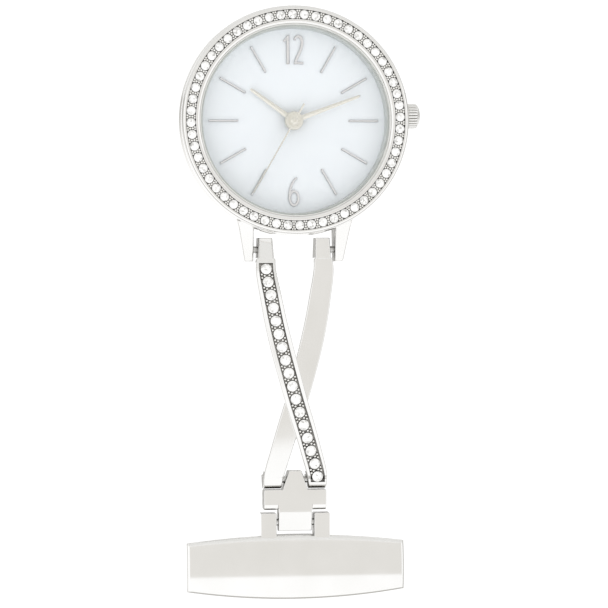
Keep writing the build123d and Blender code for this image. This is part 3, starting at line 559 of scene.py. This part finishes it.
def hour_marks():
    """Ten applied batons with bevelled edges."""
    front, rear = span("hour_markers", "y")
    points, faces = [], []
    outline = [(-BATON_HALF, BATON_FOOT), (BATON_HALF, BATON_FOOT), (BATON_HALF, BATON_TOP),
               (-BATON_HALF, BATON_TOP)]
    for hour in range(12):
        if hour not in (0, 6):
            prism(points, faces, outline, rear, front, 0.07, dial_turned(hour * 30))
    marks = build("hour_batons", points, faces, [MARK_METAL, MARK_FLANK_SHADE], "case", 25,
                  flank_slots(points, faces, front))
    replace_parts(marks, "hour_markers")


def stroke(path, widths):
    """Outline of a pen stroke along a path of (u, v) points with flat ends."""
    lefts, rights = [], []
    for index, here in enumerate(path):
        before, after = path[max(index - 1, 0)], path[min(index + 1, len(path) - 1)]
        along = Vector((after[0] - before[0], after[1] - before[1])).normalized()
        half = widths[index] / 2
        lefts.append((here[0] - along.y * half, here[1] + along.x * half))
        rights.append((here[0] + along.y * half, here[1] - along.x * half))
    return rights + lefts[::-1]


def bezier(p0, p1, p2, p3, steps=12):
    """Points of a cubic curve."""
    curve = []
    for index in range(steps + 1):
        t = index / steps
        s = 1 - t
        curve.append(tuple(s ** 3 * a + 3 * s * s * t * b + 3 * s * t * t * c + t ** 3 * d
                           for a, b, c, d in zip(p0, p1, p2, p3)))
    return curve


def ring_prism(points, faces, centre, radii, width, rear, front, bevel, sides=40):
    """Raised oval ring with bevelled edges."""
    start = len(points)
    rows = [(0.5, rear), (0.5, front + bevel), (0.5 - bevel / width, front),
            (-0.5 + bevel / width, front), (-0.5, front + bevel), (-0.5, rear)]
    for side in range(sides):
        turn = 2 * math.pi * side / sides
        for offset, depth in rows:
            reach = offset * width
            points.append(dial_point(centre[0] + (radii[0] + reach) * math.cos(turn),
                                     centre[1] + (radii[1] + reach) * math.sin(turn), depth))
    wrap(faces, start, sides, len(rows))


def numerals():
    """Applied 12 and 6, tall and narrow."""
    front, rear = span("numerals", "y")
    points, faces = [], []
    one = [(-0.98, 7.95), (-0.55, 7.95), (-0.55, 12.0), (-0.82, 12.0), (-0.98, 11.78)]
    flag = [(-1.46, 11.22), (-1.28, 11.02), (-0.9, 11.36), (-0.9, 11.92), (-1.05, 11.64)]
    bow = bezier((0.18, 11.3), (0.3, 12.05), (1.28, 12.1), (1.27, 11.0), 16)
    bow += bezier((1.27, 11.0), (1.27, 10.1), (0.72, 9.3), (0.30, 8.28), 14)[1:]
    foot = [(0.02, 7.95), (1.44, 7.95), (1.44, 8.27), (0.14, 8.27)]
    tail = bezier((0.42, -8.0), (-0.2, -8.35), (-0.66, -9.5), (-0.64, -10.7), 16)
    bow_widths = [0.30 + 0.12 * min(1, index / 10) for index in range(len(bow))]
    tail_widths = [0.26 + 0.1 * index / 16 for index in range(17)]
    for outline, sunk, bevel in ((one, 0, 0.06), (flag, 0.03, 0.05), (stroke(bow, bow_widths), 0, 0.06),
                                 (foot, 0.02, 0.05), (stroke(tail, tail_widths), 0.02, 0.05)):
        prism(points, faces, outline, rear, front + sunk, bevel, dial_point)
    ring_prism(points, faces, (0.0, -10.85), (0.62, 0.98), 0.36, rear, front, 0.06)
    figures = build("dial_numerals", points, faces, [MARK_METAL, MARK_FLANK_SHADE], "case", 25,
                    flank_slots(points, faces, front))
    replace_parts(figures, "numerals")


def hand_shape(name, node, body, angle, stations, hub, bore, material):
    """Hand with a ridge down its middle; stations are (distance, half width)."""
    front, rear = span(node, "y")
    middle = (front + rear) / 2
    place = dial_turned(angle)
    points, faces = [], []
    for distance, half in stations:
        points += [place(-half, distance, rear), place(-half, distance, middle),
                   place(0, distance, front + 0.01), place(half, distance, middle),
                   place(half, distance, rear)]
    tube(faces, 0, len(stations), 5)
    profile = [(bore, rear), (bore, front), (hub - 0.16, front), (hub - 0.05, front + 0.03),
               (hub, front + 0.09), (hub, rear)]
    if node == "second_hand":
        profile = [(bore, rear), (bore, front - 0.05), (0.3, front - 0.04), (0.42, front),
                   (0.5, front + 0.06), (0.54, front + 0.09), (0.78, front + 0.055),
                   (hub - 0.16, front + 0.04), (hub - 0.05, front + 0.07), (hub, front + 0.11), (hub, rear)]
    turn_profile(points, faces, profile, 72)
    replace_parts(build(name, points, faces, [material], body, 20), node)


HANDS_TIME = (10, 11, 35)


def hands():
    """Hour, minute and second hands."""
    hours, minutes, seconds = HANDS_TIME
    minute_angle = (minutes + seconds / 60) * 6
    hour_angle = hours * 30 + minute_angle / 12
    hand_shape("hour_hand_ridged", "hour_hand", "hours", hour_angle,
               [(0.9, 0.37), (1.2, 0.37), (7.2, 0.23), (7.45, 0.17), (7.58, 0.06)], 1.33, 0.72, HAND_METAL)
    hand_shape("minute_hand_ridged", "minute_hand", "minutes", minute_angle,
               [(0.9, 0.36), (1.2, 0.36), (9.6, 0.2), (9.85, 0.14), (9.98, 0.05)], 1.28, 0.42, HAND_METAL)
    hand_shape("second_hand_ridged", "second_hand", "seconds", seconds * 6,
               [(-2.72, 0.12), (-2.6, 0.14), (0, 0.13), (11.5, 0.07), (11.68, 0.05)], 1.18, 0.01,
               HAND_METAL)


# ---- crown
CROWN_GROOVES, CROWN_STEPS = 26, 8
GROOVE_DEPTH = 0.17


def crown():
    """Coin-edged crown with a domed end."""
    outer, inner = span("crown", "x")
    axis_y = sum(span("crown", "y")) / 2
    low_z, high_z = span("crown", "z")
    axis_z, radius = (low_z + high_z) / 2, (high_z - low_z) / 2
    rows = [(inner, 1.22, 0), (inner, radius - 0.18, 0), (inner - 0.05, radius - 0.12, 0.2),
            (inner - 0.16, radius - 0.01, 1), (inner - 0.8, radius, 1),
            (inner - 1.22, radius - 0.02, 1), (inner - 1.34, radius - 0.10, 0.5),
            (inner - 1.44, radius - 0.20, 0), (inner - 1.58, radius - 0.38, 0),
            (inner - 1.70, radius - 0.64, 0), (inner - 1.80, radius - 0.98, 0),
            (outer + 0.02, radius - 1.36, 0), (outer, 0.001, 0),
            (outer + 0.7, 0.001, 0), (outer + 0.7, 1.22, 0)]
    sides = CROWN_GROOVES * CROWN_STEPS
    points, faces = [], []
    for side in range(sides):
        turn = 2 * math.pi * side / sides
        wave = abs(math.sin(math.pi * side / CROWN_STEPS)) ** 0.6
        for x, reach, depth in rows:
            here = reach - GROOVE_DEPTH * depth * (1 - wave)
            points.append((x, axis_y + here * math.cos(turn), axis_z + here * math.sin(turn)))
    wrap(faces, 0, sides, len(rows))
    # Slot 1 paints shade in the bottoms of the grooves.
    slots = [int(side % CROWN_STEPS in (0, CROWN_STEPS - 1) and 2 <= index <= 5)
             for side in range(sides) for index in range(len(rows))]
    knob = build("crown_coin_edge", points, faces, [STEEL, GROOVE], "crown_stem", 40, slots)
    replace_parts(knob, "crown")


# ---- bar stones
BAR_GRAINS = ((-0.72, -0.24, 0.2), (-0.72, 0.24, 0.2), (-0.34, 0.0, 0.2), (0.34, 0.0, 0.2),
              (0.72, -0.24, 0.2), (0.72, 0.24, 0.2))
BAR_STONE_R = 0.76


def stone_middles():
    """Middle of each separate stone of the CAD bar, from the head end to the brooch."""
    stones = bmesh.new()
    stones.from_mesh(NODES["bar_stones"].data)
    bmesh.ops.remove_doubles(stones, verts=stones.verts, dist=1e-6)
    stones.verts.ensure_lookup_table()
    seen, middles = set(), []
    for vert in stones.verts:
        if vert.index in seen:
            continue
        stack, group = [vert], []
        seen.add(vert.index)
        while stack:
            here = stack.pop()
            group.append(here.co.copy())
            for edge in here.link_edges:
                other = edge.other_vert(here)
                if other.index not in seen:
                    seen.add(other.index)
                    stack.append(other)
        low, high = (Vector([pick(p[k] for p in group) for k in range(3)]) for pick in (min, max))
        middles.append((low + high) / 2 / MM)
    stones.free()
    return sorted(middles, key=lambda middle: middle.z)


def bar_stones():
    """Brilliants along the front bar with their grains, placed on the CAD stones."""
    middles = stone_middles()
    points, faces, slots = [], [], []
    bead_points, bead_faces = [], []
    for index, middle in enumerate(middles):
        before, after = middles[max(index - 1, 0)], middles[min(index + 1, len(middles) - 1)]
        along = (after - before).normalized()
        out = (OUT - along * OUT.dot(along)).normalized()
        across = along.cross(out)
        twist = Matrix.Rotation(math.radians(17.0 * (index * 5 % 4)), 3, out)
        brilliant(points, faces, slots, middle + out * 0.06, twist @ across, twist @ along, out, BAR_STONE_R,
                  0.25, 0.36)
        if index < len(middles) - 1:
            gap = (middle + middles[index + 1]) / 2
            for offset, shift, size in BAR_GRAINS:
                spot = gap + across * offset + along * shift + out * (0.16 - size)
                bead(bead_points, bead_faces, spot, out, across, along, size, 0.9)
    add_stones("bar_brilliants", "bar_stones", points, faces, slots, "bar_grains", bead_points, bead_faces,
               "link")


# ---- case ring and lugs
LUG_INNER = 5.76
LUG_OUTLINE = [(LUG_INNER, 13.9), (8.2, 13.9), (7.9, 14.95), (7.03, 19.5), (6.85, 19.7), (LUG_INNER, 19.7)]
LUG_LEVELS = 4.0


def case_ring():
    """Barrel-sided case ring with two tapering lugs."""
    y = HINGE_Y
    profile = [(14.3, y - 2.4), (15.86, y - 2.4), (16.0, y - 2.36), (16.1, y - 2.22), (16.16, y - 1.9),
               (16.19, y - 1.3), (16.2, y - 0.4), (16.2, y + 0.8), (16.18, y + 1.6), (16.13, y + 2.15),
               (16.04, y + 2.42), (15.92, y + 2.55), (15.8, y + 2.6), (15.1, y + 2.6), (15.1, y + 2.3),
               (14.6, y + 2.3), (14.6, y + 2.6), (14.3, y + 2.6)]
    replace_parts(lathe("case_ring", profile, [STEEL], segments=360), "case_middle")
    points, faces = [], []
    root, tip = (CENTRE_Z + LUG_OUTLINE[corner][1] for corner in (0, -1))

    def place(u, v, level):
        share = (v - root) / (tip - root)
        front, rear = -2.55 + 1.35 * share, 2.1 - 0.75 * share
        return (u, HINGE_Y + front + (rear - front) * level / LUG_LEVELS, v)

    for side in (1, -1):
        outline = [(side * u, CENTRE_Z + v) for u, v in LUG_OUTLINE]
        slab(points, faces, outline, 0.0, LUG_LEVELS, 0.3, place)
    # Slot 1 paints shade on the lugs' inner faces, which face the bar blocks across a narrow gap.
    slots = [int(all(abs(abs(points[index][0]) - LUG_INNER) < 0.02 for index in face)) for face in faces]
    lugs = build("lugs", points, faces, [STEEL, SHADE], "case", 40, slots, weighted=True)


# ---- crossed bars
BAR_LINE = ((4.05, -43.6), (4.10, -41.7), (3.55, -38.2), (2.91, -34.6), (2.08, -30.9),
            (1.12, -27.2), (0.06, -23.4), (-1.10, -19.7), (-2.15, -16.2), (-3.05, -13.0),
            (-3.22, -11.06))
BAR_HALF_WIDTHS = (1.30, 1.42, 1.52, 1.58, 1.62, 1.60, 1.56, 1.52, 1.46, 1.40, 1.27)
BAR_THICK = 1.7
BAR_TOP, BAR_SHOULDER, BAR_FOOT = -46.3, -43.5, -11.12
CHANNEL_HALF, CHANNEL_DEPTH = 1.0, 0.46
CHANNEL_ENDS = (-42.75, -12.0)


def along_bar(values, z):
    """Smooth value at a height from one value at each height of the bar line."""
    heights = [point[1] for point in BAR_LINE]
    index = max(i for i in range(len(heights) - 1) if heights[i] <= max(z, heights[0]))
    step = heights[index + 1] - heights[index]
    t = (min(max(z, heights[0]), heights[-1]) - heights[index]) / step

    def slope(i):
        low, high = max(i - 1, 0), min(i + 1, len(values) - 1)
        return (values[high] - values[low]) / (heights[high] - heights[low]) * step

    return ((2 * t ** 3 - 3 * t * t + 1) * values[index] + (t ** 3 - 2 * t * t + t) * slope(index)
            + (3 * t * t - 2 * t ** 3) * values[index + 1] + (t ** 3 - t * t) * slope(index + 1))


ARCH_START, ARCH_END = HEAD_HINGE.z - 1.5, LINK_HINGE.z + 1.3
FOOT_R = 1.32
FOOT_START, FOOT_END = LINK_HINGE.z - 0.6, LINK_HINGE.z + 0.1


def arc_radius(half, rise):
    """Radius of an arc from half its chord and its rise."""
    return (half * half + rise * rise) / (2 * rise)


def arch(apex, z):
    """Front depth of an arched bar behind the hinge line."""
    radius = arc_radius((ARCH_END - ARCH_START) / 2, -0.5 - apex)
    offset = max(z, ARCH_START) - (ARCH_START + ARCH_END) / 2
    return apex + radius - math.sqrt(radius * radius - offset * offset) - BAR_THICK / 2


def bar_front(apex, z):
    """Front depth of a bar, falling to a round foot at the brooch end."""
    if z < FOOT_START:
        return arch(apex, z)
    over = min(abs(z - LINK_HINGE.z), FOOT_R - 0.02)
    foot = -math.sqrt(FOOT_R * FOOT_R - over * over)
    if z > FOOT_END:
        return foot
    share = (z - FOOT_START) / (FOOT_END - FOOT_START)
    share = share * share * (3 - 2 * share)
    return arch(apex, z) * (1 - share) + foot * share


SECTION_STEP = 0.45
BLOCK_HALF, SHOULDER_HALF = 1.0, 1.12
BAR_REAR_EDGE = 0.12


def bar_stations(sunk):
    """Heights of a bar's sections, each with the drop of its rounded top end."""
    stations = [(BAR_TOP + back, down) for back, down in rim_steps(0.14)]
    stations += [(BAR_SHOULDER, 0), (BAR_SHOULDER + 0.1, 0)]
    z = BAR_SHOULDER + 0.25
    while z < LINK_HINGE.z - 0.7:
        stations.append((z, 0))
        z += SECTION_STEP
    stations += [(LINK_HINGE.z + share * 0.1 - 0.6, 0) for share in range(0, 17)]
    stations += [(BAR_FOOT, 0)]
    if sunk:
        stations += [(edge + shift, 0) for edge in CHANNEL_ENDS for shift in (-0.01, 0.01)]
    return sorted(set(stations))


def bar_mesh(name, node, side, apex, sunk, rim):
    """One arched bar as a stack of level sections, with a stone channel when sunk."""
    xs = [side * x for x, _ in BAR_LINE]
    stations = bar_stations(sunk)
    corner = rim_steps(rim)
    points, faces = [], []
    for z, down in stations:
        lean = 0.0
        if z <= BAR_SHOULDER:
            centre = side * BAR_LINE[0][0]
            half = BLOCK_HALF + (SHOULDER_HALF - BLOCK_HALF) * (z - BAR_TOP) / (BAR_SHOULDER - BAR_TOP)
        else:
            centre = along_bar(xs, z)
            lean = (along_bar(xs, z + 0.05) - along_bar(xs, z - 0.05)) / 0.1
            half = along_bar(BAR_HALF_WIDTHS, z) * math.sqrt(1 + lean * lean)
            half = SHOULDER_HALF + (half - SHOULDER_HALF) * min(1, (z - BAR_SHOULDER) / 0.24)
        front = HINGE_Y + bar_front(apex, z) + down
        if BAR_SHOULDER < z < FOOT_START:
            rear = HINGE_Y + min(bar_front(apex, z) + BAR_THICK, 1.2)
        else:
            rear = HINGE_Y + (1.15 if z < BAR_SHOULDER + 1 else -bar_front(apex, z) - 0.15)
        channel_half = CHANNEL_HALF * (math.sqrt(1 + lean * lean) if z > BAR_SHOULDER else 0.9)
        sink = CHANNEL_DEPTH if sunk and CHANNEL_ENDS[0] < z < CHANNEL_ENDS[1] else 0.0
        fall = 0.09 if sink else 0.0
        row = [(-half + BAR_REAR_EDGE, rear), (-half, rear - BAR_REAR_EDGE)]
        row += [(-half + back, front + fall + drop) for back, drop in reversed(corner)]
        if sunk:
            row += [(-channel_half, front), (-channel_half + 0.001, front + sink),
                    (channel_half - 0.001, front + sink), (channel_half, front)]
        row += [(half - back, front + fall + drop) for back, drop in corner]
        row += [(half, rear - BAR_REAR_EDGE), (half - BAR_REAR_EDGE, rear)]
        points += [(centre + x, y, z) for x, y in row]
    count = len(row)
    first = 2 + len(corner)
    tube(faces, 0, len(stations), count)

    # Slot 1 is the dark stone channel (oxide and painted shade); slot 2 paints shade on the block sides, the
    # foot sides and both end caps.
    def slot(z, index):
        if sunk and first <= index <= first + 2 and CHANNEL_ENDS[0] - 0.02 < z < CHANNEL_ENDS[1]:
            return 1
        return 2 if index in (1, count - 3) and (z < BAR_SHOULDER or z > LINK_HINGE.z - 1.3) else 0

    slots = [slot(z, index) for z, _ in stations[:-1] for index in range(count)] + [2, 2]
    thing = build(name, points, faces, [STEEL, CHANNEL_OXIDE_AND_SHADE, SHADE], "link", 38, slots, weighted=True)
    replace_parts(thing, node)


def bars():
    """Stone bar in front and plain bar behind."""
    bar_mesh("stone_bar_finished", "stone_bar", 1, -2.9, True, 0.2)
    bar_mesh("plain_bar_finished", "plain_bar", -1, -1.9, False, 0.2)


# ---- connector
CONNECTOR_HALF = 1.12
CREASE = BROOCH_HINGE.z - 1.32
ARM_FALL_START = -8.86
ARM_FALL_X = 2.42
CONNECTOR_OUTLINE = [(2.36, CREASE + 2.52), (2.36, -8.12), (4.3, -8.12), (4.42, -8.3), (4.42, -10.8),
                     (4.3, -10.96), (1.76, -10.96), (0.9, -13.6)]


def connector():
    """Cross-shaped link with a flat face and a knuckle that falls away."""
    points, faces = [], []
    outline = CONNECTOR_OUTLINE + [(-x, z) for x, z in reversed(CONNECTOR_OUTLINE)]
    slab(points, faces, outline, -CONNECTOR_HALF, CONNECTOR_HALF, 0.13,
         lambda u, v, level: (u, HINGE_Y + level, v))
    # Slot 1 paints shade on the connector's side walls.
    slots = []
    for face in faces:
        levels = [points[index][1] for index in face]
        slots.append(int(max(levels) - min(levels) > 1))
    block = build("connector_finished", points, faces, [STEEL, SHADE], "connector_block", 38, slots)
    cut = bmesh.new()
    cut.from_mesh(block.data)
    cuts = [((0, 0, height), (0, 0, 1)) for height in (ARM_FALL_START, -8.6, -8.35, CREASE, CREASE + 1.2,
                                                       CREASE + 1.9)]
    cuts += [((side * x, 0, 0), (1, 0, 0)) for x in (2.40, 2.46) for side in (1, -1)]
    for spot, normal in cuts:
        bmesh.ops.bisect_plane(cut, geom=list(cut.verts) + list(cut.edges) + list(cut.faces),
                               plane_co=Vector(spot) * MM, plane_no=normal)
    for vert in cut.verts:
        share = (vert.co.y / MM - HINGE_Y) / -CONNECTOR_HALF
        past = vert.co.z / MM - CREASE
        if past > 0:
            vert.co.y += share * (0.12 * past + 0.05 * past * past) * MM
        down = vert.co.z / MM - ARM_FALL_START
        if abs(vert.co.x) / MM > ARM_FALL_X and down > 0:
            vert.co.y += share * (0.26 * down + 0.45 * down * down) * MM
    cut.to_mesh(block.data)
    cut.free()
    block.data.set_sharp_from_angle(angle=math.radians(38))
    weight_normals(block)
    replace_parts(block, "connector")


# ---- brooch plate
def plate_edge(x, half, end, middle):
    """Height of a curved plate edge at x."""
    radius = arc_radius(half, middle - end)
    return middle - radius + math.copysign(math.sqrt(radius * radius - x * x), radius)


PLATE_CURVE_R = 14.98
PLATE_RIM = ((0.3, 0.02), (0.08, 0.17), (0.02, 0.23), (0.0, 0.32))
EAR_INNER, EAR_OUTER = 2.67, 4.86


def brooch_plate():
    """Rounded front plate, hollow behind, with two ears."""
    _, half = span("brooch_plate", "x")
    apex, rear = span("brooch_plate", "y")
    columns, rows, rim = 72, 26, 0.4

    def spot(u, v, back, depth=None, drop=0.0):
        x = (half - back) * u
        bottom = plate_edge(x, half, -3.64, -4.6) + back
        top = plate_edge(x, half, 3.22, 4.48) - back
        z = bottom + (top - bottom) * v
        if depth is None:
            depth = apex + PLATE_CURVE_R - math.sqrt(PLATE_CURVE_R * PLATE_CURVE_R - z * z) + drop
        return (x, depth, z)

    points, faces = [], []
    for j in range(rows + 1):
        for i in range(columns + 1):
            points.append(spot(2 * i / columns - 1, j / rows, rim))
    for j in range(rows):
        for i in range(columns):
            here = j * (columns + 1) + i
            faces.append((here, here + 1, here + columns + 2, here + columns + 1))
    border = [(i, 0) for i in range(columns)] + [(columns, j) for j in range(rows)]
    border += [(i, rows) for i in range(columns, 0, -1)] + [(0, j) for j in range(rows, 0, -1)]
    rings = [[j * (columns + 1) + i for i, j in border]]

    def add_ring(maker):
        start = len(points)
        points.extend(maker(2 * i / columns - 1, j / rows) for i, j in border)
        rings.append(list(range(start, len(points))))

    for back, drop in PLATE_RIM:
        add_ring(lambda u, v, back=back, drop=drop: spot(u, v, back, drop=drop))
    add_ring(lambda u, v: spot(u, v, 0.0, rear - 0.12))
    add_ring(lambda u, v: spot(u, v, 0.12, rear))
    add_ring(lambda u, v: (13.75 * u, rear, -2.7 + 5.2 * v))
    add_ring(lambda u, v: (13.7 * u, rear - 1.6, -2.65 + 5.1 * v))
    for near, far in zip(rings, rings[1:]):
        for index in range(len(border)):
            after = (index + 1) % len(border)
            faces.append((near[index], near[after], far[after], far[index]))
    faces.append(tuple(rings[-1]))
    profile = [(-1.08, -3.75), (-1.12, -7.55), (-1.05, -7.64), (0.9, -7.7), (1.25, -7.2), (1.25, -3.75)]
    outline = [(HINGE_Y + y, z) for y, z in profile]
    for side in (1, -1):
        slab(points, faces, outline, side * EAR_INNER, side * EAR_OUTER, 0.12,
             lambda u, v, level: (level, u, v))

    # Painted shade on the ears' inner and top faces and on the plate's top wall between the ears.
    def shaded(face):
        corners = [points[index] for index in face]
        inner = all(2.6 < abs(x) < 2.7 for x, _, _ in corners)
        top = all(z < -7.6 for _, _, z in corners)
        between = all(abs(x) < 2.7 and z < -4.4 for x, _, z in corners)
        return inner or top or (between and max(y for _, y, _ in corners) > rear - 0.2)

    slots = [int(shaded(face)) for face in faces]
    plate = build("brooch_plate_finished", points, faces, [STEEL, SHADE], "brooch", 40, slots, weighted=True)
    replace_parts(plate, "brooch_plate")


# ---- put it together
bezel()
bezel_stones()
head_rings()
hour_marks()
numerals()
hands()
crown()
bar_stones()
case_ring()
bars()
connector()
brooch_plate()

for node_name, edge_width, finish in (("pin_base", 0.12, STEEL_SATIN), ("catch_housing", 0.08, STEEL),
                                      ("catch_roller", 0.06, STEEL)):
    refined(node_name, edge_width, finish)

FINISHES = {
    "case_back_gasket": RUBBER, "crown_tube": STEEL_SATIN,
    "crown_gasket": RUBBER, "stem": IRON, "sliding_pinion": IRON, "fourth_wheel": BRASS,
    "third_wheel": BRASS, "centre_wheel": BRASS, "fifth_wheel": BRASS, "rotor": IRON,
    "cannon_pinion": BRASS, "minute_wheel": BRASS, "hour_wheel": BRASS, "setting_wheel": BRASS,
    "main_plate": NICKEL, "train_bridge": NICKEL, "bridge_screws": IRON, "movement_ring": NYLON,
    "battery": STEEL_SATIN, "battery_clamp": IRON, "circuit_board": BOARD, "drive_chip": CHIP,
    "quartz_can": STEEL_SATIN, "stator": IRON, "coil_core": IRON, "coil_winding": COPPER,
    "setting_lever": IRON, "link_pin": STEEL_SATIN, "lug_pins": STEEL_SATIN,
    "brooch_hinge_pin": STEEL_SATIN, "brooch_pin": STEEL_SATIN, "pin_rivet": STEEL_SATIN,
}
for node_name, finish in FINISHES.items():
    mesh = NODES[node_name].data
    mesh.materials.clear()
    mesh.materials.append(finish)

# ---- camera, floor and light
VIEW_DISTANCE = 420.0
PIXEL_MM = 0.14
VIEW_CENTRE = (-1.2, -6.0, -37.0)
VIEW_YAW = 8.0
VIEW_ROLL = 0.35
FRAME_PIXELS = 608
SENSOR_WIDTH = 36.0


def add_camera():
    """Camera a little to the left of straight in front, held so that the 12 of the dial is up."""
    data = bpy.data.cameras.new("camera")
    data.sensor_width = SENSOR_WIDTH
    data.lens = SENSOR_WIDTH * VIEW_DISTANCE / (PIXEL_MM * FRAME_PIXELS)
    data.clip_start = 0.01
    data.clip_end = 5.0
    camera = bpy.data.objects.new("camera", data)
    swing = Matrix.Rotation(math.radians(VIEW_YAW), 4, "Z")
    target = Vector(VIEW_CENTRE)
    camera.location = (target + swing @ Vector((0, -VIEW_DISTANCE, 0))) * MM
    upright = Matrix.Rotation(math.radians(90), 4, "X")
    turned = Matrix.Rotation(math.radians(180 + VIEW_ROLL), 4, "Y")
    camera.rotation_euler = (swing @ turned @ upright).to_euler()
    scene.collection.objects.link(camera)
    scene.camera = camera


def add_floor():
    """Plain pale floor disc some way below the hanging watch."""
    radius, height, sides = 0.26, -0.135, 96
    mesh = bpy.data.meshes.new("floor")
    edge = [(radius * math.cos(2 * math.pi * i / sides), radius * math.sin(2 * math.pi * i / sides), height)
            for i in range(sides)]
    mesh.from_pydata(edge, [], [tuple(range(sides))])
    paint = textured("pale_floor", (0.80, 0.80, 0.79), (0.86, 0.86, 0.85), 0.0, 0.55, 0.7, scale=40, bump=0)
    mesh.materials.append(paint)
    floor = bpy.data.objects.new("floor", mesh)
    scene.collection.objects.link(floor)


LIGHT_SIZE = 0.35


def area_light(name, place, target, power):
    """Soft square light aimed at a point and not seen in the metal."""
    data = bpy.data.lights.new(name, "AREA")
    data.shape = "RECTANGLE"
    data.size = data.size_y = LIGHT_SIZE
    data.energy = power
    light = bpy.data.objects.new(name, data)
    light.visible_glossy = False
    light.location = place
    light.rotation_euler = (Vector(target) - Vector(place)).to_track_quat("-Z", "Y").to_euler()
    scene.collection.objects.link(light)


def spread(tree, socket, low, high):
    """Map a socket so that low becomes 0 and high becomes 1."""
    node = add_node(tree, "MapRange", From_Min=low, From_Max=high)
    tree.links.new(socket, node.inputs["Value"])
    return node.outputs["Result"]


def direction_ramp(tree, socket, stops):
    """Colour over one component of the direction, from -1 to 1."""
    return add_ramp(tree, spread(tree, socket, -1, 1), [((at + 1) / 2, colour) for at, colour in stops])


def blend(tree, factor, first, second, kind="MIX"):
    """Blend two colours; each argument is a socket or a constant."""
    node = tree.nodes.new("ShaderNodeMix")
    node.data_type = "RGBA"
    node.blend_type = kind
    for key, value in (("Factor", factor), ("A", first), ("B", second)):
        if isinstance(value, bpy.types.NodeSocket):
            tree.links.new(value, node.inputs[key])
        else:
            node.inputs[key].default_value = value
    return node.outputs["Result"]


WHITE = (1.13, 1.13, 1.13)
WALL = (0.86, 0.845, 0.815)
FLAG = (0.46, 0.45, 0.43)
FULL = (1.0, 1.0, 1.0)
NONE = (0.0, 0.0, 0.0)


def add_world():
    """White tent with a soft grey wall in front and a darker ring of flags round the watch."""
    world = bpy.data.worlds.new("studio")
    scene.world = world
    world.use_nodes = True
    tree = world.node_tree
    coord = add_node(tree, "TexCoord")
    split = add_node(tree, "SeparateXYZ")
    tree.links.new(coord.outputs["Generated"], split.inputs["Vector"])
    x, y, z = (split.outputs[axis] for axis in "XYZ")
    white = (*WHITE, 1)
    wall = direction_ramp(tree, z, [(-1.0, WHITE), (-0.52, WHITE), (-0.40, WALL), (0.225, WALL),
                                    (0.25, WHITE), (1.0, WHITE)])
    beside = direction_ramp(tree, x, [(-1.0, FULL), (-0.52, FULL), (-0.42, NONE), (0.22, NONE),
                                      (0.30, FULL), (1.0, FULL)])
    room = direction_ramp(tree, z, [(-1.0, (0.95, 0.94, 0.92)), (-0.62, (0.88, 0.87, 0.85)),
                                    (-0.38, (0.50, 0.49, 0.47)), (-0.08, (0.60, 0.59, 0.57)),
                                    (0.10, (0.92, 0.91, 0.89)), (0.40, WHITE), (1.0, WHITE)])
    flags = direction_ramp(tree, y, [(-1.0, FULL), (-0.34, FULL), (-0.18, FLAG), (0.10, FLAG),
                                     (0.24, FULL), (1.0, FULL)])
    ahead = blend(tree, beside, wall, white)
    behind = blend(tree, spread(tree, y, 0.90, 0.95), room, white)
    around = blend(tree, spread(tree, y, 0.1, 0.3), ahead, behind)
    colour = blend(tree, 1.0, around, flags, "MULTIPLY")
    back = tree.nodes["Background"]
    tree.links.new(colour, back.inputs["Color"])
    back.inputs["Strength"].default_value = 1.0


scene.view_settings.view_transform = "Standard"
add_camera()
add_floor()
add_world()
area_light("key", (0.22, -0.35, 0.25), (0, 0, -0.05), 0.35)
area_light("fill", (-0.3, -0.35, -0.1), (0, 0, -0.04), 0.2)
